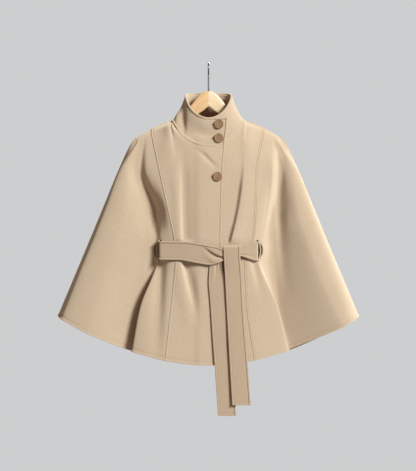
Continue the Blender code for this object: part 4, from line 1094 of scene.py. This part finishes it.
STRAP_RIM = 0.6
Tail = namedtuple("Tail", "z left right depth")
TAIL_OVER = (
    Tail(-521, 41, 88, 118.5), Tail(-545, 42, 88.5, 119.5), Tail(-594, 45, 92, 119),
    Tail(-690, 50, 97, 126.5), Tail(-820, 57, 107, 141), Tail(-952, 65, 117, 147),
)
TAIL_UNDER = (
    Tail(-538, 6, 34, 107.8), Tail(-566, 3, 38, 108.2), Tail(-612, 0, 46, 112.8),
    Tail(-664, 4, 51, 118.2), Tail(-768, 11, 60, 128), Tail(-850, 17, 67, 135), Tail(-982, 26, 77, 139),
)
TAIL_CLOTH = 3.0
TAIL_CURL = 6.0
TAIL_CURL_END = 0.3
TAIL_CURL_STEPS = 16
TAIL_ROWS = 90
Gather = namedtuple("Gather", "at height low high")
RIGHT_GATHERS = (Gather(0.36, 3.0, 0.26, 0.3), Gather(0.0, -7.0, 0.3, 0.09), Gather(-0.66, 4.5, 0.3, 0.3))
RIGHT_CREASE_X = -11.0
RIGHT_CREASE_RUN = 50.0
RIGHT_CREASE_HEAD = 0.62
RIGHT_CREASE_FALL = 1.05
RIGHT_CREASE_BACK = -0.3
RIGHT_GATHER_FROM = -26.0
RIGHT_GATHER_RUN = 50.0
RIGHT_GATHER_END = 42.0
RIGHT_GATHER_FADE = 10.0
LEFT_GATHERS = (
    Gather(0.42, -2.2, 0.3, 0.14), Gather(0.05, 1.4, 0.3, 0.3),
    Gather(-0.5, -3.0, 0.12, 0.3), Gather(-0.8, 1.6, 0.2, 0.2),
)
LEFT_GATHER_END = 142.0
LEFT_GATHER_FADE = 30.0
OVER_CROWN = 1.2
OVER_RIPPLE = 0.5
OVER_RIPPLE_RUN = 46.0
UNDER_GATHERS = (Gather(0.0, -3.2, 0.12, 0.25), Gather(-0.4, 2.0, 0.25, 0.2), Gather(0.5, -2.0, 0.2, 0.12))
UNDER_CROWN = 0.8
UNDER_CREASE_AT = 0.15
UNDER_CREASE_DRIFT = 0.35
UNDER_CREASE_RUN = 90.0
UNDER_GATHER_FOOT_Z = -640.0
UNDER_GATHER_FADE = 70.0
# Painted shade: the belt, its tails and the knot are the coat's wool, toned a little darker to stand in for
# the shade they hang in.
painted_shade_belt_wool = wool("belt_coating_painted_shade", "b3987c", "a2866a")
belt_lines = []


def belt_depth(x):
    """Depth of the foremost cloth under the belt at each x, over the rows that the belt covers."""
    depth = np.zeros_like(x)
    for name, (outer, _, u, v) in fronts.items():
        body = (u[0] <= SLIT_COLUMNS[0]) if "side" in name else u[0] < np.inf
        rows = (v[:, 0] >= SLIT_ROWS[0] - ROUNDING) & (v[:, 0] <= SLIT_ROWS[1] + ROUNDING)
        for row in outer[rows][:, body]:
            order = np.argsort(row[:, 0])
            depth = np.maximum(depth, np.interp(x, row[order, 0], -row[order, 1], 0.0, 0.0))
    return depth


def drawn_tight(x, depth):
    """Depth of a taut strap over a surface: the cubic that follows it best, moved out to clear it."""
    curve = np.polyval(np.polyfit(x, depth, 3), x)
    return curve + np.max(depth - curve)


def gathered(share, gathers):
    """Creases and rolls across a strap: each is a bell with one width below its middle and one above."""
    total = np.zeros_like(share)
    for gather in gathers:
        off = share - gather.at
        total += gather.height * np.exp(-((off / np.where(off < 0, gather.low, gather.high)) ** 2))
    return total


def right_gathers(x, share):
    """Towards the knot the right stretch rolls into two lobes, with a crease running down between them."""
    fall = np.clip((x - RIGHT_CREASE_X) / RIGHT_CREASE_RUN, RIGHT_CREASE_BACK, 1.0)
    lobes = gathered(share - RIGHT_CREASE_HEAD + RIGHT_CREASE_FALL * fall, RIGHT_GATHERS)
    grown = ease((x - RIGHT_GATHER_FROM) / RIGHT_GATHER_RUN)
    return lobes * grown * ease((RIGHT_GATHER_END - x) / RIGHT_GATHER_FADE)


def left_gathers(x, share):
    """The left stretch fans out of the knot: two creases that open and run out towards the slit."""
    return gathered(share, LEFT_GATHERS) * ease((LEFT_GATHER_END - x) / LEFT_GATHER_FADE)


def over_crown(z, share):
    """The over end is a little crowned across and ripples slightly down its length."""
    return OVER_CROWN * (1 - share ** 2) + OVER_RIPPLE * share * np.sin(z / OVER_RIPPLE_RUN)


def under_gathers(z, share):
    """The under end comes out of the knot bunched: three creases that spread and fade as it falls."""
    spread = np.clip((TAIL_UNDER[0].z - z) / UNDER_CREASE_RUN, 0.0, 1.0)
    folds = gathered(share - UNDER_CREASE_AT + UNDER_CREASE_DRIFT * spread, UNDER_GATHERS)
    return folds * ease((z - UNDER_GATHER_FOOT_Z) / UNDER_GATHER_FADE) + UNDER_CROWN * (1 - share ** 2)


def strap_grid(middle, width_way, half, gathers=None, place=None, from_end=None):
    """A flat strap: each point of its middle line carried across its width, with columns close along both
    edges for the stitching, and gathers square to it by a place along and the share across."""
    share = between_edges(2 * half, STRAP_COLUMNS, STRAP_STEPS) * 2 - 1
    grid = middle[:, None] + share[..., None] * width_way[:, None] * half[:, None, None]
    relief = STRAP_RELIEF * topstitched(row_distance(STRAP_COLUMNS, STRAP_STEPS))[None, :] + 0 * share
    if from_end is not None:
        relief = np.minimum(relief, WELT) + STRAP_RELIEF * topstitched(from_end)[:, None]
    if gathers is not None:
        relief = relief + gathers(place[:, None], share)
    return grid, relief


def strap(name, grid, relief, toward, thick, node_name):
    """The wall of a strap about its middle surface and its two lines of stitching."""
    facing = facing_of(grid, toward)
    outer = grid + facing * (relief + thick / 2)[..., None]
    facing = facing_of(outer, toward)
    made = shell(name, outer, facing, thick, painted_shade_belt_wool, rim_out=STRAP_RIM)
    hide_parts(node_name)
    column = STRAP_STEPS.index(STITCH_AT)
    belt_lines.extend([(outer[:, k], facing[:, k]) for k in (column, -1 - column)])
    return outer, facing


upward = np.array((0.0, 0.0, 1.0))
inner_ends = []
for name, rows, side, lift, lift_from, flat, gathers in (
        ("belt_right", BELT_RIGHT, -1, BELT_RIGHT_LIFT, BELT_RIGHT_LIFT_FROM, (0.22, 0.055), right_gathers),
        ("belt_left", BELT_LEFT, 1, BELT_LEFT_LIFT, BELT_LEFT_LIFT_FROM, (0.085, 0.055), left_gathers)):
    knot_x = rows[-1].along if side < 0 else rows[0].along
    x = np.linspace(knot_x, side * BELT_TURN_X, BELT_STEPS)
    y = -drawn_tight(x, belt_depth(x)) - BELT_CLEAR - BELT_CLOTH / 2
    y = y - lift * ease((lift_from - x) / (lift_from - knot_x))
    run = np.stack((x, y, 0 * x), 1)
    swing = np.linspace(BELT_HEADING, math.pi / 2, BEND_STEPS)
    ring = np.stack((side * np.sin(swing), -np.cos(swing), 0 * swing), 1) * BELT_BEND
    turn = run[-1] + ring - ring[0]
    inward = np.stack((0 * swing, np.linspace(0, BELT_INWARD, BEND_STEPS), 0 * swing), 1)
    middle = np.concatenate((run, turn[1:], turn[-1] + inward[1:]))
    stations = np.array([r.along for r in rows], float)
    at = np.interp(np.clip(middle[:, 0], stations.min(), stations.max()), stations, np.arange(len(rows)))
    table = across(np.array(rows, float), at)
    middle[:, 2] = (table[:, 1] + table[:, 2]) / 2
    half = (table[:, 1] - table[:, 2]) / 2
    inner_ends.append(middle[-1])
    grid, relief = strap_grid(middle, np.tile(upward, (len(middle), 1)), half, gathers, middle[:, 0])
    strap(f"{name}_strap", grid, relief, (0, -1, 0), BELT_CLOTH, name)
swing = np.linspace(0, math.pi, BELT_BACK_STEPS)
start, stop = inner_ends
half_span = (stop[0] - start[0]) / 2
begin_y = max(start[1], stop[1]) + BELT_BACK_GAP
x = (stop[0] + start[0]) / 2 - half_span * squared(np.cos(swing), BELT_BACK_CURVE)
y = begin_y + (BELT_BACK_DEPTH - begin_y) * np.sin(swing) ** BELT_BACK_CURVE
middle = np.stack((x, y, BELT_Z + 0 * x), 1)
grid, relief = strap_grid(middle, np.tile(upward, (len(x), 1)), 0 * x + BELT_WIDTH / 2)
strap("belt_back_strap", grid, relief, (0, 1, 0), BELT_CLOTH, "belt_back")

for name, rows, curl, flat, gathers in (
        ("belt_tail_over", TAIL_OVER, True, (0.052, 0.47), over_crown),
        ("belt_tail_under", TAIL_UNDER, False, (0.05, 0.46), under_gathers)):
    steps = np.array(STRAP_STEPS)[::-1]
    end_run = rows[-2].z - rows[-1].z
    at = len(rows) - 1 - steps / end_run
    at = np.concatenate((np.linspace(0, at[0], TAIL_ROWS, endpoint=False), at))
    table = across(np.array(rows, float), at)
    middle = np.stack(((table[:, 1] + table[:, 2]) / 2, -table[:, 3], table[:, 0]), 1)
    half = (table[:, 2] - table[:, 1]) / 2
    if curl:
        swing = np.linspace(TAIL_CURL_END, math.pi, TAIL_CURL_STEPS)[:-1]
        circle = np.stack((0 * swing, 1 + np.cos(swing), np.sin(swing)), 1)
        middle = np.concatenate((middle[0] + circle * TAIL_CURL, middle))
        half = np.concatenate((np.full(len(swing), half[0]), half))
    from_end = np.full(len(middle), FAR)
    from_end[-len(steps):] = steps
    right = np.tile(np.array((1.0, 0.0, 0.0)), (len(middle), 1))
    grid, relief = strap_grid(middle, right, half, gathers, middle[:, 2], from_end)
    outer, facing = strap(
        f"{name}_strap", grid, relief, (0, -1, 0), TAIL_CLOTH, name)
    row = -1 - STRAP_STEPS.index(STITCH_AT)
    belt_lines.append((outer[row], facing[row]))

# Knot: the turn of the belt under the over end, of the same two layers of wool.  It is drawn tight and
# holds by friction, with the cloth rolled round in slanting folds.
KNOT_LEFT = 49.0
KNOT_RIGHT = 84.0
KNOT_TOP = -522.0
KNOT_FOOT = -548.0
KNOT_BACK = 106.0
KNOT_FRONT = 116.0
KNOT_END = 0.72
KNOT_STEPS = 48
KNOT_SIDES = 56
KNOT_FOLD = 0.07
KNOT_FOLDS = 5
KNOT_TWIST = 9.0
share = np.linspace(0, 1, KNOT_STEPS)[:, None]
swell = KNOT_END + (1 - KNOT_END) * np.sin(share * math.pi)
around = np.linspace(0, 2 * math.pi, KNOT_SIDES, endpoint=False)[None, :]
swell = swell * (1 + KNOT_FOLD * np.sin(KNOT_FOLDS * around + KNOT_TWIST * share))
y = -(KNOT_FRONT + KNOT_BACK) / 2 - (KNOT_FRONT - KNOT_BACK) / 2 * swell * np.cos(around)
z = (KNOT_TOP + KNOT_FOOT) / 2 - (KNOT_TOP - KNOT_FOOT) / 2 * swell * np.sin(around)
rings = np.stack((KNOT_LEFT + (KNOT_RIGHT - KNOT_LEFT) * share + 0 * y, y, z), -1)
knot = piece("belt_knot_wrap", rings[:, ::-1], ring_faces(*rings.shape[:2]), painted_shade_belt_wool)
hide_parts("belt_knot")

# Belt loops: a narrow strap of the coat's wool, folded and sewn in at both ends of each slit.  The belt
# that runs behind it bows it out.
LOOP_DEEP = 7.0
LOOP_THICK = 3.6
LOOP_BOW = 4.5
LOOP_IN = 11.5
LOOP_BACK = -13.0
LOOP_END_GAP = 0.5
LOOP_STEPS = 40
LOOP_COLUMNS = 9
for name, side_panel, side in (
        ("belt_loop_right", "panel_side_front_right", -1), ("belt_loop_left", "panel_side_front_left", 1)):
    level = np.linspace(*SLIT_ROWS, LOOP_STEPS)[:, None]
    edge = side_surface(side, 0 * level + SLIT_COLUMNS[1], level)[:, 0]
    share = np.linspace(0, 1, LOOP_STEPS)
    z = np.linspace(edge[0, 2] - LOOP_END_GAP, edge[-1, 2] + LOOP_END_GAP, LOOP_STEPS)
    x = np.interp(-z, -edge[:, 2], edge[:, 0]) - side * (LOOP_IN - LOOP_BOW * np.sin(share * math.pi))
    y = np.interp(-z, -edge[:, 2], edge[:, 1]) + LOOP_BACK
    middle = np.stack((x, y, z), 1)
    deep = np.linspace(-1, 1, LOOP_COLUMNS) * (LOOP_DEEP - LOOP_THICK) / 2
    grid = middle[:, None] + deep[:, None] * np.array((0.0, 1.0, 0.0))
    facing = facing_of(grid, (side, 0, 0))
    loop = shell(f"{name}_strap", grid + facing * LOOP_THICK / 2, facing, LOOP_THICK, coat_wool)
    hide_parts(name)
sew("stitches_belt", belt_lines, coat_thread)

# Stage: a plain floor that fades out, an even pale surround that lights the cloth with a warmer and darker
# tone than it shows, a soft key light from the right and above, a soft light behind, and a long lens.
FLOOR_Z = -1.75
FLOOR_RADIUS = 5.0
FLOOR_CORE = 0.02
FLOOR_CLEAR_FROM = 1.5
FLOOR_RINGS = 24
FLOOR_SPOKES = 96
SURROUND = "cdcecf"
SURROUND_FILL = "968a80"
IMAGE_HIGH = 471
MM_PER_PIXEL = 2.8
CAMERA_AWAY = 6.0
CAMERA_PLANE_Y = -0.05
CAMERA_X = -0.0014
CAMERA_Z = -0.4844
CAMERA_CLIP = 100.0
SENSOR = 36.0
LIGHT_AIM = (0.0, 0.0, -0.5)


def floor_finish():
    """Grey matt floor, clear towards its edge so that it meets the surround without a line."""
    finish, tree = new_finish("pale_floor")
    where = node(tree, "TexCoord").outputs["Object"]
    flat = node(tree, "VectorMath", {0: where, 1: (1.0, 1.0, 0.0)}, operation="MULTIPLY")
    away = node(tree, "VectorMath", {0: flat.outputs[0]}, operation="LENGTH")
    clear = node(tree, "MapRange", {
        "Value": away.outputs["Value"], "From Min": FLOOR_CLEAR_FROM, "From Max": FLOOR_RADIUS,
        "To Min": 1.0, "To Max": 0.0}, interpolation_type="SMOOTHSTEP")
    shader = node(tree, "BsdfPrincipled", {
        "Base Color": linear("a2a3a4"), "Roughness": 0.9, "Alpha": clear.outputs[0]})
    node(tree, "OutputMaterial", {"Surface": shader.outputs[0]})
    return finish


spoke = np.linspace(0, 2 * math.pi, FLOOR_SPOKES, endpoint=False)
reach = np.linspace(FLOOR_CORE, 1, FLOOR_RINGS)[:, None] * FLOOR_RADIUS
disc = np.stack((reach * np.cos(spoke), reach * np.sin(spoke), FLOOR_Z + 0 * reach * spoke), -1) / MM
floor = piece("floor", disc, ring_faces(FLOOR_RINGS, FLOOR_SPOKES)[:-1], floor_finish())

world = bpy.data.worlds.new("studio_surround")
world.use_nodes = True
world.node_tree.nodes.clear()
seen = node(world.node_tree, "Background", {"Color": linear(SURROUND)})
fill = node(world.node_tree, "Background", {"Color": linear(SURROUND_FILL)})
ray = node(world.node_tree, "LightPath")
either = node(world.node_tree, "MixShader", {
    0: ray.outputs["Is Camera Ray"], 1: fill.outputs[0], 2: seen.outputs[0]})
node(world.node_tree, "OutputWorld", {"Surface": either.outputs[0]})
bpy.context.scene.world = world


def soft_light(name, place, size, watts, tint):
    """A square soft box at a place in metres, turned to the coat."""
    lamp = bpy.data.lights.new(name, "AREA")
    lamp.shape = "SQUARE"
    lamp.size = size
    lamp.energy = watts
    lamp.color = linear(tint)[:3]
    box = bpy.data.objects.new(name, lamp)
    away = np.array(place) - np.array(LIGHT_AIM)
    box.location = place
    turn = math.atan2(math.hypot(away[0], away[1]), away[2])
    box.rotation_euler = (turn, 0.0, math.atan2(away[1], away[0]) + math.pi / 2)
    bpy.context.scene.collection.objects.link(box)


soft_light("key_light", place=(5.2, -6.3, 3.2), size=2.4, watts=1810.0, tint="e2f3ff")
soft_light("back_light", place=(1.2, 7.6, 2.6), size=2.6, watts=1000.0, tint="f4f8ff")

camera = bpy.data.cameras.new("camera")
camera.sensor_width = SENSOR
camera.lens = SENSOR * CAMERA_AWAY / (IMAGE_HIGH * MM_PER_PIXEL * MM)
camera.clip_end = CAMERA_CLIP
viewer = bpy.data.objects.new("camera", camera)
viewer.location = (CAMERA_X, CAMERA_PLANE_Y - CAMERA_AWAY, CAMERA_Z)
viewer.rotation_euler = (math.pi / 2, 0.0, 0.0)
bpy.context.scene.collection.objects.link(viewer)
bpy.context.scene.camera = viewer
bpy.context.scene.view_settings.view_transform = "Standard"
